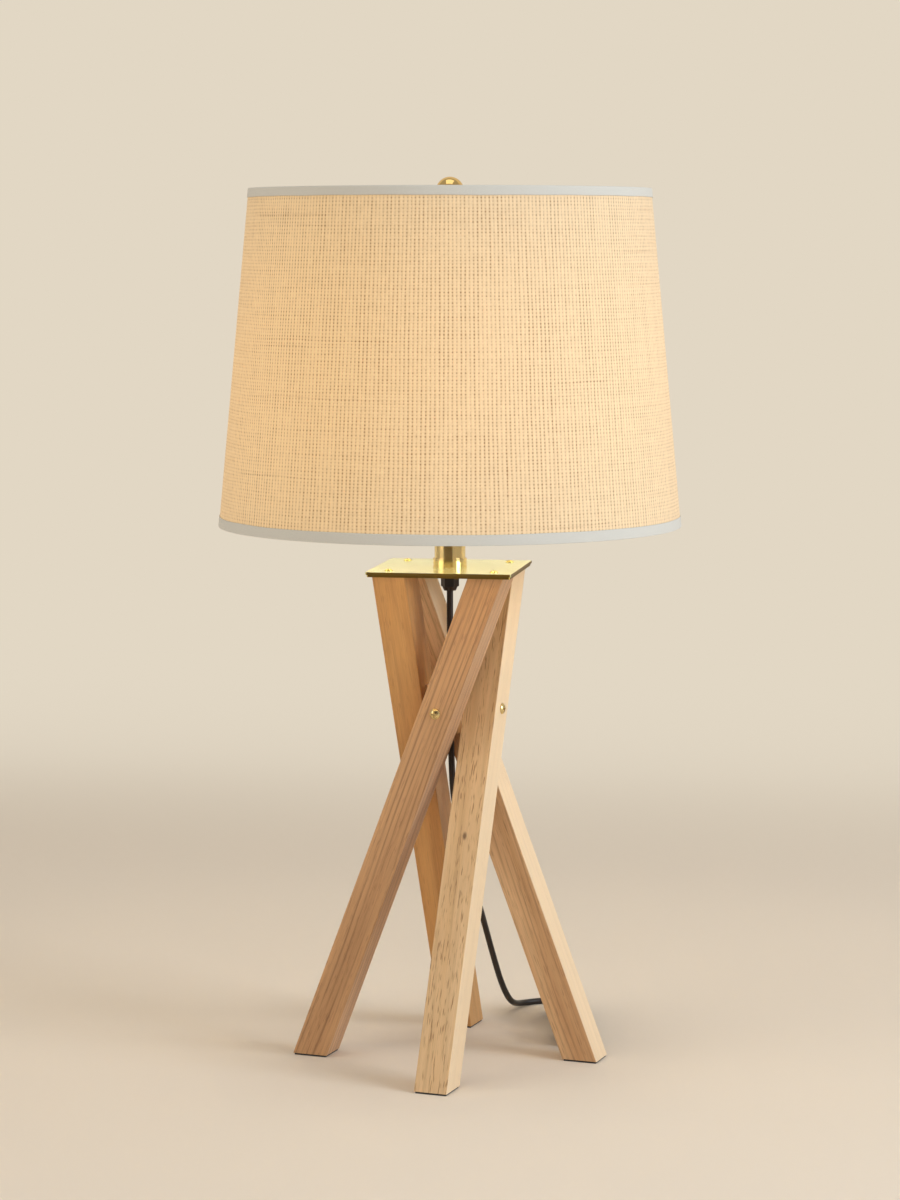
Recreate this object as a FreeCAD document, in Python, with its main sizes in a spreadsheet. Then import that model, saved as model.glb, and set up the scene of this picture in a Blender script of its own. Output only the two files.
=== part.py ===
import FreeCAD, Part
import math
import os

import Sketcher
from FreeCAD import Placement, Rotation, Vector

# A table lamp on four square wooden legs that cross at a block under a brass plate.
# The origin is on the floor, on the axis of the neck; +Z is up and the plate's sides
# lie along X and Y. All sizes are in millimetres and degrees.

doc = FreeCAD.newDocument("table_lamp")

# ---------------------------------------------------------------- driving dimensions

SIZES = {
    # legs
    "leg_side": 26.5,
    "leg_lean": 21.0,
    "leg_turn": 11.3,
    "leg_foot_reach": 102.5,
    "leg_inner_offset": 15.0,
    "leg_edge_round": 0.8,
    "wood_top": 382.0,
    "pad_thick": 1.5,
    "pad_inset": 1.0,
    # crossing
    "cross_height": 276.5,
    "block_height": 36.0,
    "block_clearance": 0.15,
    "block_bore": 11.0,
    "cross_head": 8.3,
    "cross_head_thick": 2.6,
    "cross_shank": 4.0,
    "cross_bite": 8.0,
    "screw_clearance": 0.25,
    # plates
    "plate_side": 112.0,
    "top_plate_thick": 2.0,
    "under_plate_thick": 1.8,
    "under_plate_inset": 1.0,
    "plate_corner": 1.5,
    "plate_screw_offset": 40.5,
    "plate_head": 6.2,
    "plate_head_thick": 1.5,
    "plate_shank": 4.0,
    "plate_bite": 12.0,
    # neck
    "pipe_outer": 10.0,
    "pipe_bore": 7.0,
    "pipe_bottom": 372.0,
    "pipe_stand": 8.5,
    "pipe_clearance": 0.2,
    "collar_outer": 26.2,
    "collar_height": 6.7,
    "collar_lip": 1.9,
    "groove_depth": 0.7,
    "groove_width": 0.8,
    "groove_low": 1.2,
    "neck_outer": 24.0,
    "neck_wall": 1.0,
    "neck_height": 42.2,
    "neck_fit": 0.1,
    "neck_cap_thick": 1.5,
    "nut_flats": 14.0,
    "nut_thick": 3.5,
    "gland_flats": 12.2,
    "gland_length": 11.3,
    "gland_nose": 3.2,
    "gland_nose_dia": 9.4,
    "gland_fit": 0.1,
    "gland_turn": 4.0,
    # harp and saddle
    "saddle_thick": 1.2,
    "saddle_width": 12.0,
    "ear_height": 12.0,
    "ear_width": 5.0,
    "harp_wire": 4.2,
    "harp_foot": 31.0,
    "harp_straight": 30.0,
    "harp_reach": 56.0,
    "harp_wide_low_drop": 140.0,
    "harp_wide_high_drop": 62.0,
    "harp_shoulder": 34.7,
    "harp_shoulder_drop": 13.2,
    "harp_crown": 12.6,
    "harp_drop": 32.0,
    "boss_dia": 14.0,
    "boss_thick": 2.5,
    "stud_dia": 6.35,
    "stud_length": 11.3,
    "stud_fit": 0.075,
    "sleeve_outer": 9.8,
    "sleeve_bore": 8.0,
    "sleeve_shift": 0.7,
    "sleeve_length": 14.0,
    # lamp holder
    "holder_cap_outer": 33.0,
    "holder_cap_height": 17.3,
    "holder_wall": 0.6,
    "shell_outer": 32.0,
    "shell_wall": 0.5,
    "shell_lift": 15.3,
    "shell_height": 42.0,
    "liner_wall": 0.7,
    "holder_body_dia": 29.0,
    "holder_body_lift": 10.3,
    "holder_body_height": 21.0,
    "holder_waist_dia": 22.0,
    "holder_waist_height": 8.0,
    "holder_foot_clearance": 1.0,
    "screw_shell_outer": 28.4,
    "screw_shell_wall": 0.8,
    "screw_shell_height": 24.0,
    "contact_dia": 8.0,
    "contact_thick": 1.2,
    "terminal_head": 5.0,
    "terminal_head_thick": 1.6,
    "terminal_shank": 3.0,
    "terminal_bite": 5.0,
    "knob_shaft": 4.0,
    "knob_dia": 10.0,
    "knob_length": 11.0,
    "knob_bite": 8.0,
    "knob_rise": 21.3,
    "shaft_fit": 0.05,
    # bulb
    "bulb_dia": 60.0,
    "bulb_length": 108.0,
    "bulb_wall": 0.8,
    "bulb_base_dia": 26.2,
    "bulb_base_height": 24.0,
    "bulb_throat": 25.0,
    "thread_depth": 0.6,
    "thread_pitch": 3.4,
    "thread_start": 3.0,
    "base_shoulder": 2.0,
    "button_dia": 9.0,
    "button_thick": 2.2,
    # shade
    "shade_bottom": 418.0,
    "shade_top": 675.0,
    "shade_bottom_radius": 178.0,
    "shade_top_radius": 153.7,
    "fabric_thick": 0.8,
    "liner_thick": 0.8,
    "tape_thick": 0.4,
    "tape_bottom_width": 8.0,
    "tape_top_width": 7.0,
    "layer_gap": 0.1,
    "ring_wire": 3.2,
    "washer_outer": 24.0,
    "washer_thick": 3.4,
    "arm_bend_inset": 22.0,
    # finial
    "finial_ball": 21.7,
    "finial_top": 684.0,
    "finial_neck": 8.0,
    "finial_flange": 12.0,
    "finial_flange_thick": 1.2,
    "finial_bore_depth": 10.5,
    # cord
    "cord_dia": 5.0,
    "layer_rise": 5.5,
    "layer_lean": 2.0,
    "fold_radius": 15.0,
    "hank_half_run": 46.5,
    "waist_half": 4.0,
    "hank_skew": 12.6,
    "hank_across": 84.84,
    "hank_back": 100.45,
    "hank_entry_run": 13.0,
    "lead_inset": 1.0,
    "hank_least_gap": 0.4,
    "tie_thick": 0.8,
    "tie_width": 6.0,
    "plug_start": 10.0,
    "plug_shift": 1.5,
    "plug_length": 34.0,
    "plug_width": 22.0,
    "plug_neck": 10.0,
    "plug_height": 12.0,
    "plug_round": 2.5,
    "blade_length": 16.0,
    "blade_width": 6.3,
    "blade_thick": 1.5,
    "blade_spacing": 12.7,
    # running gaps between loose pieces
    "rest_gap": 0.3,
}

LEG_COUNT = 4
ARM_COUNT = 3
HANK_LAYERS = 4
# share of the shorter run that a bend of the cord takes up on each side of its point
BEND_SHARE = 0.45
# steepness of a climb at the middle of its run, against its mean
CLIMB_STEEPNESS = 1.5
# a screw's cross recess and the rim under its dome, as shares of the head
RECESS_REACH = 0.3
RECESS_HALF_WIDTH = 0.07
RECESS_DEPTH = 0.5
RIM_SHARE = 1 / 3
# the knob's face is narrower than its grip by this share, over this share of its radius
KNOB_FACE = 0.7
KNOB_TAPER = 0.4
# how far below its middle the bulb's ball meets the flank, as a share of its radius
FLANK_DROP = 0.45
# the bulb's thread: a ridge rises, stays and falls within these shares of the pitch
THREAD_RIDGES = 5
RIDGE_SHARES = (0.35, 0.5, 0.85)
# where the plug's body reaches its full width, as a share of its length
PLUG_SHOULDER = 0.45

sheet = doc.addObject("Spreadsheet::Sheet", "sizes")
for row, (alias, number) in enumerate(SIZES.items(), 1):
    sheet.set("A%d" % row, alias)
    sheet.set("B%d" % row, str(number))
    sheet.setAlias("B%d" % row, alias)
doc.recompute()


class Size:
    """A size that knows its value and the cell formula that gives it."""

    def __init__(self, value, formula):
        self.value = value
        self.formula = formula

    def __float__(self):
        return self.value

    def __add__(self, other):
        other = as_size(other)
        return Size(self.value + other.value, "(%s + %s)" % (self.formula, other.formula))

    def __sub__(self, other):
        other = as_size(other)
        return Size(self.value - other.value, "(%s - %s)" % (self.formula, other.formula))

    def __mul__(self, other):
        other = as_size(other)
        return Size(self.value * other.value, "(%s * %s)" % (self.formula, other.formula))

    def __truediv__(self, other):
        other = as_size(other)
        return Size(self.value / other.value, "(%s / %s)" % (self.formula, other.formula))

    def __neg__(self):
        return Size(-self.value, "(0 - %s)" % self.formula)

    def __radd__(self, other):
        return as_size(other) + self

    def __rsub__(self, other):
        return as_size(other) - self

    def __rmul__(self, other):
        return as_size(other) * self


def as_size(number):
    """Return a plain number as a Size, and a Size as it is."""
    if isinstance(number, Size):
        return number
    return Size(float(number), "%.6f" % number)


def cell(alias):
    """Return one driving dimension."""
    return Size(float(sheet.get(alias)), "sizes." + alias)


def sine(angle):
    """Return the sine of an angle in degrees."""
    return Size(math.sin(math.radians(angle.value)), "sin(%s)" % angle.formula)


def cosine(angle):
    """Return the cosine of an angle in degrees."""
    return Size(math.cos(math.radians(angle.value)), "cos(%s)" % angle.formula)


def tangent(angle):
    """Return the tangent of an angle in degrees."""
    return Size(math.tan(math.radians(angle.value)), "tan(%s)" % angle.formula)


def root(number):
    """Return a square root."""
    return Size(math.sqrt(number.value), "sqrt(%s)" % number.formula)


# ---------------------------------------------------------------- building blocks

sub_parts = []


def keep(item, node):
    """Name an object as a sub-part of its own."""
    item.Label = node
    sub_parts.append(item)
    return item


def bind(item, name, size):
    """Tie one property of an object to the sheet."""
    item.setExpression(name, as_size(size).formula)


def new_body(name):
    """Start a body."""
    return doc.addObject("PartDesign::Body", name)


def sketch_on(body, name, role, lift=0.0):
    """Start a sketch on one of a body's own origin planes, or parallel to it."""
    sketch = body.newObject("Sketcher::SketchObject", name)
    plane = next(item for item in body.Origin.OriginFeatures if item.Role == role)
    sketch.AttachmentSupport = [(plane, "")]
    sketch.MapMode = "FlatFace"
    bind(sketch, "AttachmentOffset.Base.z", lift)
    return sketch


def pin(sketch, geometry, end, across=None, up=None):
    """Hold a point of a sketch at its distances from the origin."""
    for kind, axis, size in (("DistanceX", -2, across), ("DistanceY", -1, up)):
        if size is None:
            continue
        size = as_size(size)
        if abs(size.value) < 1e-9:
            sketch.addConstraint(Sketcher.Constraint("PointOnObject", geometry, end, axis))
        elif size.value > 0:
            index = sketch.addConstraint(
                Sketcher.Constraint(kind, -1, 1, geometry, end, size.value))
            sketch.setExpression("Constraints[%d]" % index, size.formula)
        else:
            size = -size
            index = sketch.addConstraint(
                Sketcher.Constraint(kind, geometry, end, -1, 1, size.value))
            sketch.setExpression("Constraints[%d]" % index, size.formula)


def flat(across, up):
    """Return a point of a sketch."""
    return Vector(float(as_size(across)), float(as_size(up)), 0)


class Arc:
    """An arc of an outline, from the point before it to the point after it.

    It is counter-clockwise when turn is 1 and clockwise when it is -1. One of the two
    coordinates of the point after it is left for the circle to give: its name is free.
    """

    def __init__(self, centre_across, centre_up, turn, free):
        self.centre = (centre_across, centre_up)
        self.turn = turn
        self.free = free


def outline(sketch, items):
    """Draw a closed outline from points and the arcs between them."""
    points = [item for item in items if not isinstance(item, Arc)]
    arcs = {}
    count = 0
    for item in items:
        if isinstance(item, Arc):
            arcs[count - 1] = item
        else:
            count += 1
    starts = []
    ends = []
    for number, (across, up) in enumerate(points):
        ahead = flat(*points[(number + 1) % len(points)])
        here = flat(across, up)
        if number not in arcs:
            index = sketch.addGeometry(Part.LineSegment(here, ahead), False)
            starts.append((index, 1))
            ends.append((index, 2))
            continue
        arc = arcs[number]
        centre = flat(*arc.centre)
        circle = Part.Circle(centre, Vector(0, 0, 1), (here - centre).Length)
        first, last = (here, ahead) if arc.turn > 0 else (ahead, here)
        angles = [math.atan2(spot.y - centre.y, spot.x - centre.x) for spot in (first, last)]
        index = sketch.addGeometry(Part.ArcOfCircle(circle, *angles), False)
        starts.append((index, 1 if arc.turn > 0 else 2))
        ends.append((index, 2 if arc.turn > 0 else 1))
        pin(sketch, index, 3, *arc.centre)
    for number, (across, up) in enumerate(points):
        before = ends[number - 1]
        sketch.addConstraint(Sketcher.Constraint("Coincident", *before, *starts[number]))
        arc = arcs.get((number - 1) % len(points))
        free = arc.free if arc else None
        pin(sketch, *starts[number], None if free == "across" else across,
            None if free == "up" else up)


def circle_in(sketch, across, up, radius):
    """Draw a circle in a sketch."""
    spot = flat(across, up)
    index = sketch.addGeometry(Part.Circle(spot, Vector(0, 0, 1), float(radius)), False)
    pin(sketch, index, 3, across, up)
    held = sketch.addConstraint(Sketcher.Constraint("Radius", index, float(radius)))
    sketch.setExpression("Constraints[%d]" % held, radius.formula)


def rectangle(left, right, low, high):
    """Return the corners of an upright rectangle."""
    return [(left, low), (right, low), (right, high), (left, high)]


def turned(name, items):
    """Return a body turned about Z from a half section of radii and heights."""
    body = new_body(name)
    sketch = sketch_on(body, name + "_section", "XZ_Plane")
    outline(sketch, items)
    lathe = body.newObject("PartDesign::Revolution", name + "_turn")
    lathe.Profile = sketch
    lathe.ReferenceAxis = (sketch, ["V_Axis"])
    lathe.Angle = 360
    return body


def padded(body, name, role, lift, length, *shapes, reverse=False, middle=False):
    """Pad an outline, or an outline with holes, to a length."""
    sketch = sketch_on(body, name + "_outline", role, lift)
    for items in shapes:
        outline(sketch, items)
    pad = body.newObject("PartDesign::Pad", name + "_pad")
    pad.Profile = sketch
    bind(pad, "Length", length)
    pad.Reversed = reverse
    pad.Midplane = middle
    return pad


def cut_through(body, name, role, lift, depth, draw, reverse=False, middle=False):
    """Cut a sketched shape out of a body and check that it removed something."""
    doc.recompute()
    before = body.Shape.Volume
    sketch = sketch_on(body, name + "_shape", role, lift)
    draw(sketch)
    pocket = body.newObject("PartDesign::Pocket", name)
    pocket.Profile = sketch
    bind(pocket, "Length", depth)
    pocket.Reversed = reverse
    pocket.Midplane = middle
    doc.recompute()
    if body.Shape.Volume > before - 1e-3:
        raise RuntimeError("%s removed nothing from %s" % (name, body.Name))
    return pocket


def along(shape, direction):
    """Return the names of a shape's straight edges that lie along a direction."""
    names = []
    for number, edge in enumerate(shape.Edges, 1):
        if isinstance(edge.Curve, Part.Line):
            if abs(abs(edge.tangentAt(edge.FirstParameter).dot(direction)) - 1) < 1e-6:
                names.append("Edge%d" % number)
    return names


def round_edges(body, feature, name, direction, radius):
    """Round a body's straight edges that lie along a direction."""
    doc.recompute()
    fillet = body.newObject("PartDesign::Fillet", name)
    fillet.Base = (feature, along(feature.Shape, direction))
    bind(fillet, "Radius", radius)
    return fillet


def place(item, base, turn_axis=None, turn_angle=None):
    """Put an object in its place, with each coordinate tied to the sheet."""
    if turn_axis is not None:
        item.Placement.Rotation = Rotation(turn_axis, float(as_size(turn_angle)))
        if isinstance(turn_angle, Size):
            bind(item, "Placement.Rotation.Angle", turn_angle)
    for axis, size in zip("xyz", base):
        bind(item, "Placement.Base." + axis, size)


def unit(vector):
    """Return a vector's direction."""
    return Vector(vector).normalize()


def section_at(point, direction, radius):
    """Return a round section's wire, square to a direction."""
    return Part.Wire(Part.Circle(point, direction, radius).toShape())


def sweep(path, start, direction, radius, label):
    """Sweep a round section along a smooth path and check the volume."""
    solid = path.makePipeShell([section_at(start, direction, radius)], True, False)
    expected = math.pi * radius ** 2 * path.Length
    if abs(solid.Volume / expected - 1) > 0.005:
        raise RuntimeError("%s has the wrong volume" % label)
    return solid


def bent_path(points, label, share=BEND_SHARE):
    """Return straight runs joined by tangent arcs, and the arcs' radii."""
    edges = []
    radii = []
    start = points[0]
    for before, corner, after in zip(points, points[1:], points[2:]):
        inward = unit(corner - before)
        outward = unit(after - corner)
        half = inward.getAngle(outward) / 2
        reach = share * min((corner - before).Length, (after - corner).Length)
        radius = reach / math.tan(half)
        entry = corner - inward * reach
        leave = corner + outward * reach
        middle = corner + unit(outward - inward) * (radius / math.cos(half) - radius)
        edges.append(Part.LineSegment(start, entry).toShape())
        edges.append(Part.Arc(entry, middle, leave).toShape())
        radii.append(radius)
        start = leave
    edges.append(Part.LineSegment(start, points[-1]).toShape())
    print("%s: %.1f mm, bend radii %s" % (
        label, sum(edge.Length for edge in edges), " ".join("%.0f" % item for item in radii)))
    return Part.Wire(edges)


def bent_rod(points, radius, label, share=BEND_SHARE):
    """Return a round rod or cord along straight runs and tangent arcs."""
    path = bent_path(points, label, share)
    return sweep(path, points[0], points[1] - points[0], radius, label)


def code_shape(node, shape, placement=None):
    """Keep a shape that is worked out here as a sub-part."""
    item = doc.addObject("Part::Feature", node)
    item.Shape = shape
    if placement is not None:
        item.Placement = placement
    return keep(item, node)


def copies(node, source, placements):
    """Keep a group of separate, equal solids as one sub-part."""
    doc.recompute()
    solids = []
    for placement in placements:
        solid = source.Shape.copy()
        solid.Placement = placement.multiply(solid.Placement)
        solids.append(solid)
    return code_shape(node, Part.makeCompound(solids))


# ---------------------------------------------------------------- levels and fits

rest_gap = cell("rest_gap")
lean = cell("leg_lean")
leg_side = cell("leg_side")
leg_inner = cell("leg_inner_offset")
leg_half_slice = leg_side / (2 * cosine(lean))
wood_top = cell("wood_top")
pad_thick = cell("pad_thick")
cross_height = cell("cross_height")
plate_base = wood_top + cell("under_plate_thick")
plate_top = plate_base + cell("top_plate_thick")
pipe_radius = cell("pipe_outer") / 2
pipe_hole = pipe_radius + cell("pipe_clearance")
neck_top = plate_top + cell("neck_height")
cap_top = neck_top + cell("neck_cap_thick")
saddle_top = cap_top + cell("saddle_thick")
pipe_top = saddle_top + cell("pipe_stand")
nut_bottom = wood_top - cell("nut_thick")
gland_bottom = nut_bottom - cell("gland_length")
cord_radius = cell("cord_dia") / 2
# the harp, the fitter and the finial's foot keep their places below the finial's top
harp_top = cell("finial_top") - cell("harp_drop")
boss_bottom = harp_top + cell("harp_wire") / 2
boss_top = boss_bottom + cell("boss_thick")
washer_bottom = boss_top + rest_gap
washer_top = washer_bottom + cell("washer_thick")


def leg_axis_at(height):
    """Return how far left of the lamp's axis a leg's centre line is at a height."""
    return cell("leg_foot_reach") - height * tangent(lean)


def leg_turn(number):
    """Return the turn of one leg's frame about Z."""
    return -cell("leg_turn") - 360.0 / LEG_COUNT * number


# ---------------------------------------------------------------- legs

def build_leg(node, number):
    """Build a leg: its faces are upright planes along the lean, and its ends are level.

    In its own frame the leg leans along X and its inner face looks to +Y.
    """
    body = new_body(node)
    low = leg_axis_at(pad_thick)
    high = leg_axis_at(wood_top)
    side_view = [
        (-low - leg_half_slice, pad_thick), (-low + leg_half_slice, pad_thick),
        (-high + leg_half_slice, wood_top), (-high - leg_half_slice, wood_top)]
    pad = padded(body, node, "XZ_Plane", leg_inner, leg_side, side_view)
    grain = Vector(math.sin(math.radians(lean.value)), 0, math.cos(math.radians(lean.value)))
    round_edges(body, pad, node + "_eased", grain, cell("leg_edge_round"))
    across = -leg_axis_at(cross_height)
    hole = cell("cross_shank") / 2 + cell("screw_clearance")
    cut_through(body, node + "_cross_hole", "XZ_Plane", leg_inner, leg_side,
                lambda sketch: circle_in(sketch, across, cross_height, hole), reverse=True)
    offset = cell("plate_screw_offset")
    turn = cell("leg_turn")
    screw_x = offset * (cosine(turn) + sine(turn))
    screw_y = offset * (sine(turn) - cosine(turn))
    pilot = cell("plate_shank") / 2 + cell("screw_clearance")
    cut_through(body, node + "_pilot_hole", "XY_Plane", wood_top,
                cell("plate_bite") + rest_gap,
                lambda sketch: circle_in(sketch, screw_x, screw_y, pilot))
    place(body, (0, 0, 0), Vector(0, 0, 1), leg_turn(number))
    return keep(body, node)


def build_pad(node, number):
    """Build the thin pad under one leg, set in a little from its edges."""
    body = new_body(node)
    inset = cell("pad_inset")
    middle = -leg_axis_at(pad_thick)
    plan = rectangle(
        middle - leg_half_slice + inset, middle + leg_half_slice - inset,
        -leg_inner - leg_side + inset, -leg_inner - inset)
    padded(body, node, "XY_Plane", 0.0, pad_thick, plan)
    place(body, (0, 0, 0), Vector(0, 0, 1), leg_turn(number))
    return keep(body, node)


LEG_SIDES = ("left", "back", "right", "front")
for leg_number, side in enumerate(LEG_SIDES):
    build_leg("leg_" + side, leg_number)
    build_pad("foot_pad_" + side, leg_number)


# ---------------------------------------------------------------- crossing

def build_block():
    """Build the block between the legs, with the cord's way through it."""
    body = new_body("centre_block")
    half = leg_inner - cell("block_clearance")
    padded(body, "centre_block", "XY_Plane", cross_height - cell("block_height") / 2,
           cell("block_height"), rectangle(-half, half, -half, half))
    cut_through(body, "block_bore", "XY_Plane", cross_height, cell("block_height"),
                lambda sketch: circle_in(sketch, 0, 0, cell("block_bore") / 2), middle=True)
    hole = cell("cross_shank") / 2 + cell("shaft_fit")
    depth = cell("cross_bite") + rest_gap
    across = -leg_axis_at(cross_height)
    doc.recompute()
    sketch = sketch_on(body, "block_pilot_shape", "XZ_Plane", half)
    circle_in(sketch, across, cross_height, hole)
    pilot = body.newObject("PartDesign::Pocket", "block_pilot")
    pilot.Profile = sketch
    bind(pilot, "Length", depth)
    doc.recompute()
    before = body.Shape.Volume
    pattern = body.newObject("PartDesign::PolarPattern", "block_pilots")
    pattern.Originals = [pilot]
    pattern.Axis = (next(item for item in body.Origin.OriginFeatures
                         if item.Role == "Z_Axis"), [""])
    pattern.Angle = 360
    pattern.Occurrences = LEG_COUNT
    body.Tip = pattern
    doc.recompute()
    if body.Shape.Volume > before - 1e-3:
        raise RuntimeError("the block's pattern of pilot holes is missing")
    place(body, (0, 0, 0), Vector(0, 0, 1), leg_turn(0))
    return keep(body, "centre_block")


build_block()


def build_screw(name, head_dia, head_thick, shank_dia, shank_length):
    """Build a screw that points down, its domed head above Z 0, with a cross recess."""
    head = head_dia / 2
    shank = shank_dia / 2
    # the dome is the cap of a sphere through the head's rim and its top
    rim = head_thick * RIM_SHARE
    dome = head_thick - rim
    ball = (head * head + dome * dome) / (2 * dome)
    body = turned(name, [
        (0, -shank_length), (shank, -shank_length), (shank, 0), (head, 0), (head, rim),
        Arc(0, head_thick - ball, 1, "up"), (0, head_thick)])
    arm = head_dia * RECESS_REACH
    slot = head_dia * RECESS_HALF_WIDTH
    cross = [
        (-arm, -slot), (-slot, -slot), (-slot, -arm), (slot, -arm), (slot, -slot),
        (arm, -slot), (arm, slot), (slot, slot), (slot, arm), (-slot, arm),
        (-slot, slot), (-arm, slot)]
    cut_through(body, name + "_recess", "XY_Plane", head_thick, head_thick * RECESS_DEPTH,
                lambda sketch: outline(sketch, cross))
    return body


def leg_screw_places():
    """Return the places of the four screws that hold the legs to the block."""
    seat = Placement(
        Vector(-float(leg_axis_at(cross_height)), -float(leg_inner + leg_side),
               float(cross_height)),
        Rotation(Vector(1, 0, 0), 90))
    return [
        Placement(Vector(0, 0, 0), Rotation(Vector(0, 0, 1), float(leg_turn(number)))).multiply(seat)
        for number in range(LEG_COUNT)]


cross_screw = build_screw(
    "cross_screw", cell("cross_head"), cell("cross_head_thick"), cell("cross_shank"),
    leg_side + cell("block_clearance") + cell("cross_bite"))
copies("cross_screws", cross_screw, leg_screw_places())


# ---------------------------------------------------------------- plates

def build_plate(node, base, thick, half):
    """Build a square plate with round corners, a centre hole and four screw holes."""
    body = new_body(node)
    pad = padded(body, node, "XY_Plane", base, thick, rectangle(-half, half, -half, half))
    round_edges(body, pad, node + "_corners", Vector(0, 0, 1), cell("plate_corner"))
    hole = cell("plate_shank") / 2 + cell("screw_clearance")
    offset = cell("plate_screw_offset")

    def draw(sketch):
        circle_in(sketch, 0, 0, pipe_hole)
        for across in (-offset, offset):
            for up in (-offset, offset):
                circle_in(sketch, across, up, hole)

    cut_through(body, node + "_holes", "XY_Plane", base + thick, thick, draw)
    return keep(body, node)


plate_half = cell("plate_side") / 2
build_plate("under_plate", wood_top, cell("under_plate_thick"),
            plate_half - cell("under_plate_inset"))
build_plate("top_plate", plate_base, cell("top_plate_thick"), plate_half)

plate_screw = build_screw(
    "plate_screw", cell("plate_head"), cell("plate_head_thick"), cell("plate_shank"),
    cell("top_plate_thick") + cell("under_plate_thick") + cell("plate_bite"))
screw_offset = float(cell("plate_screw_offset"))
copies("plate_screws", plate_screw, [
    Placement(Vector(across, up, float(plate_top)), Rotation())
    for across in (-screw_offset, screw_offset) for up in (-screw_offset, screw_offset)])


# ---------------------------------------------------------------- neck

def build_collar():
    """Build the collar that the neck tube stands in, with a groove below its lip."""
    outer = cell("collar_outer") / 2
    inner = cell("neck_outer") / 2 + cell("neck_fit")
    waist = outer - cell("groove_depth")
    low = plate_top + cell("groove_low")
    low_end = low + cell("groove_width")
    top = plate_top + cell("collar_height")
    high_end = top - cell("collar_lip")
    high = high_end - cell("groove_width")
    return keep(turned("neck_collar", [
        (inner, plate_top), (outer, plate_top), (outer, low), (waist, low),
        (waist, low_end), (outer, low_end), (outer, high), (waist, high),
        (waist, high_end), (outer, high_end), (outer, top), (inner, top)]), "neck_collar")


build_collar()
neck_radius = cell("neck_outer") / 2
keep(turned("neck_tube", rectangle(
    neck_radius - cell("neck_wall"), neck_radius, plate_top, neck_top)), "neck_tube")
keep(turned("neck_cap", rectangle(pipe_hole, neck_radius, neck_top, cap_top)), "neck_cap")
keep(turned("threaded_pipe", rectangle(
    cell("pipe_bore") / 2, pipe_radius, cell("pipe_bottom"), pipe_top)), "threaded_pipe")


def hexagon(flats):
    """Return the corners of a hexagon with flats along X."""
    half = flats / 2
    corner = flats / (2 * cosine(as_size(30)))
    side = corner / 2
    return [(corner, 0), (side, half), (-side, half), (-corner, 0), (-side, -half),
            (side, -half)]


def build_lock_nut():
    """Build the nut that holds the pipe under the plates."""
    body = new_body("pipe_lock_nut")
    padded(body, "pipe_lock_nut", "XY_Plane", nut_bottom, cell("nut_thick"),
           hexagon(cell("nut_flats")))
    cut_through(body, "nut_bore", "XY_Plane", wood_top, cell("nut_thick"),
                lambda sketch: circle_in(sketch, 0, 0, pipe_radius + cell("shaft_fit")))
    return keep(body, "pipe_lock_nut")


def build_gland():
    """Build the hexagonal gland on the pipe's end, with a round nose for the cord."""
    body = new_body("cord_gland")
    nose_top = gland_bottom + cell("gland_nose")
    padded(body, "cord_gland", "XY_Plane", nose_top, cell("gland_length") - cell("gland_nose"),
           hexagon(cell("gland_flats")))
    sketch = sketch_on(body, "gland_nose_section", "XZ_Plane")
    outline(sketch, [
        (0, gland_bottom), (cell("gland_nose_dia") / 2, gland_bottom),
        (cell("gland_flats") / 2, nose_top), (0, nose_top)])
    nose = body.newObject("PartDesign::Revolution", "gland_nose")
    nose.Profile = sketch
    nose.ReferenceAxis = (sketch, ["V_Axis"])
    nose.Angle = 360
    cut_through(body, "gland_thread", "XY_Plane", nut_bottom, nut_bottom - cell("pipe_bottom"),
                lambda shape: circle_in(shape, 0, 0, pipe_radius + cell("shaft_fit")))
    cut_through(body, "gland_bore", "XY_Plane", nut_bottom, cell("gland_length"),
                lambda shape: circle_in(shape, 0, 0, cord_radius + cell("gland_fit")))
    place(body, (0, 0, 0), Vector(0, 0, 1), cell("gland_turn"))
    return keep(body, "cord_gland")


build_lock_nut()
build_gland()


# ---------------------------------------------------------------- saddle, harp and sleeves

ear_outer = (cell("harp_foot") - cell("harp_wire") / 2 - rest_gap)


def build_saddle():
    """Build the strip under the lamp holder, with an ear inside each foot of the harp."""
    body = new_body("saddle")
    thick = cell("saddle_thick")
    half = cell("saddle_width") / 2
    ear = cell("ear_width") / 2
    top = saddle_top + cell("ear_height")
    padded(body, "saddle", "XY_Plane", cap_top, thick,
           rectangle(-ear_outer, ear_outer, -half, half))
    for name, inner, outer in (("left_ear", -ear_outer, thick - ear_outer),
                               ("right_ear", ear_outer - thick, ear_outer)):
        padded(body, name, "XZ_Plane", 0.0, 2 * ear, rectangle(inner, outer, cap_top, top),
               middle=True)
    cut_through(body, "saddle_hole", "XY_Plane", saddle_top, thick,
                lambda sketch: circle_in(sketch, 0, 0, pipe_hole))
    return keep(body, "saddle")


build_saddle()


def build_harp():
    """Build the harp: one bent wire, with a boss and a threaded stud at its top."""
    foot = float(cell("harp_foot"))
    reach = float(cell("harp_reach"))
    base = float(saddle_top + rest_gap)
    top = float(harp_top)
    half = [
        (foot, base), (foot, base + float(cell("harp_straight"))),
        (reach, top - float(cell("harp_wide_low_drop"))),
        (reach, top - float(cell("harp_wide_high_drop"))),
        (float(cell("harp_shoulder")), top - float(cell("harp_shoulder_drop"))),
        (float(cell("harp_crown")), top)]
    points = [Vector(-across, 0, up) for across, up in half]
    points += [Vector(across, 0, up) for across, up in reversed(half)]
    wire = bent_rod(points, float(cell("harp_wire")) / 2, "harp wire")
    boss = Part.makeCylinder(float(cell("boss_dia")) / 2,
                             float(boss_top) - top, Vector(0, 0, top))
    stud = Part.makeCylinder(float(cell("stud_dia")) / 2,
                             float(cell("stud_length")) + float(boss_top) - top,
                             Vector(0, 0, top))
    return code_shape("harp", wire.fuse([boss, stud]).removeSplitter())


build_harp()

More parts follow.
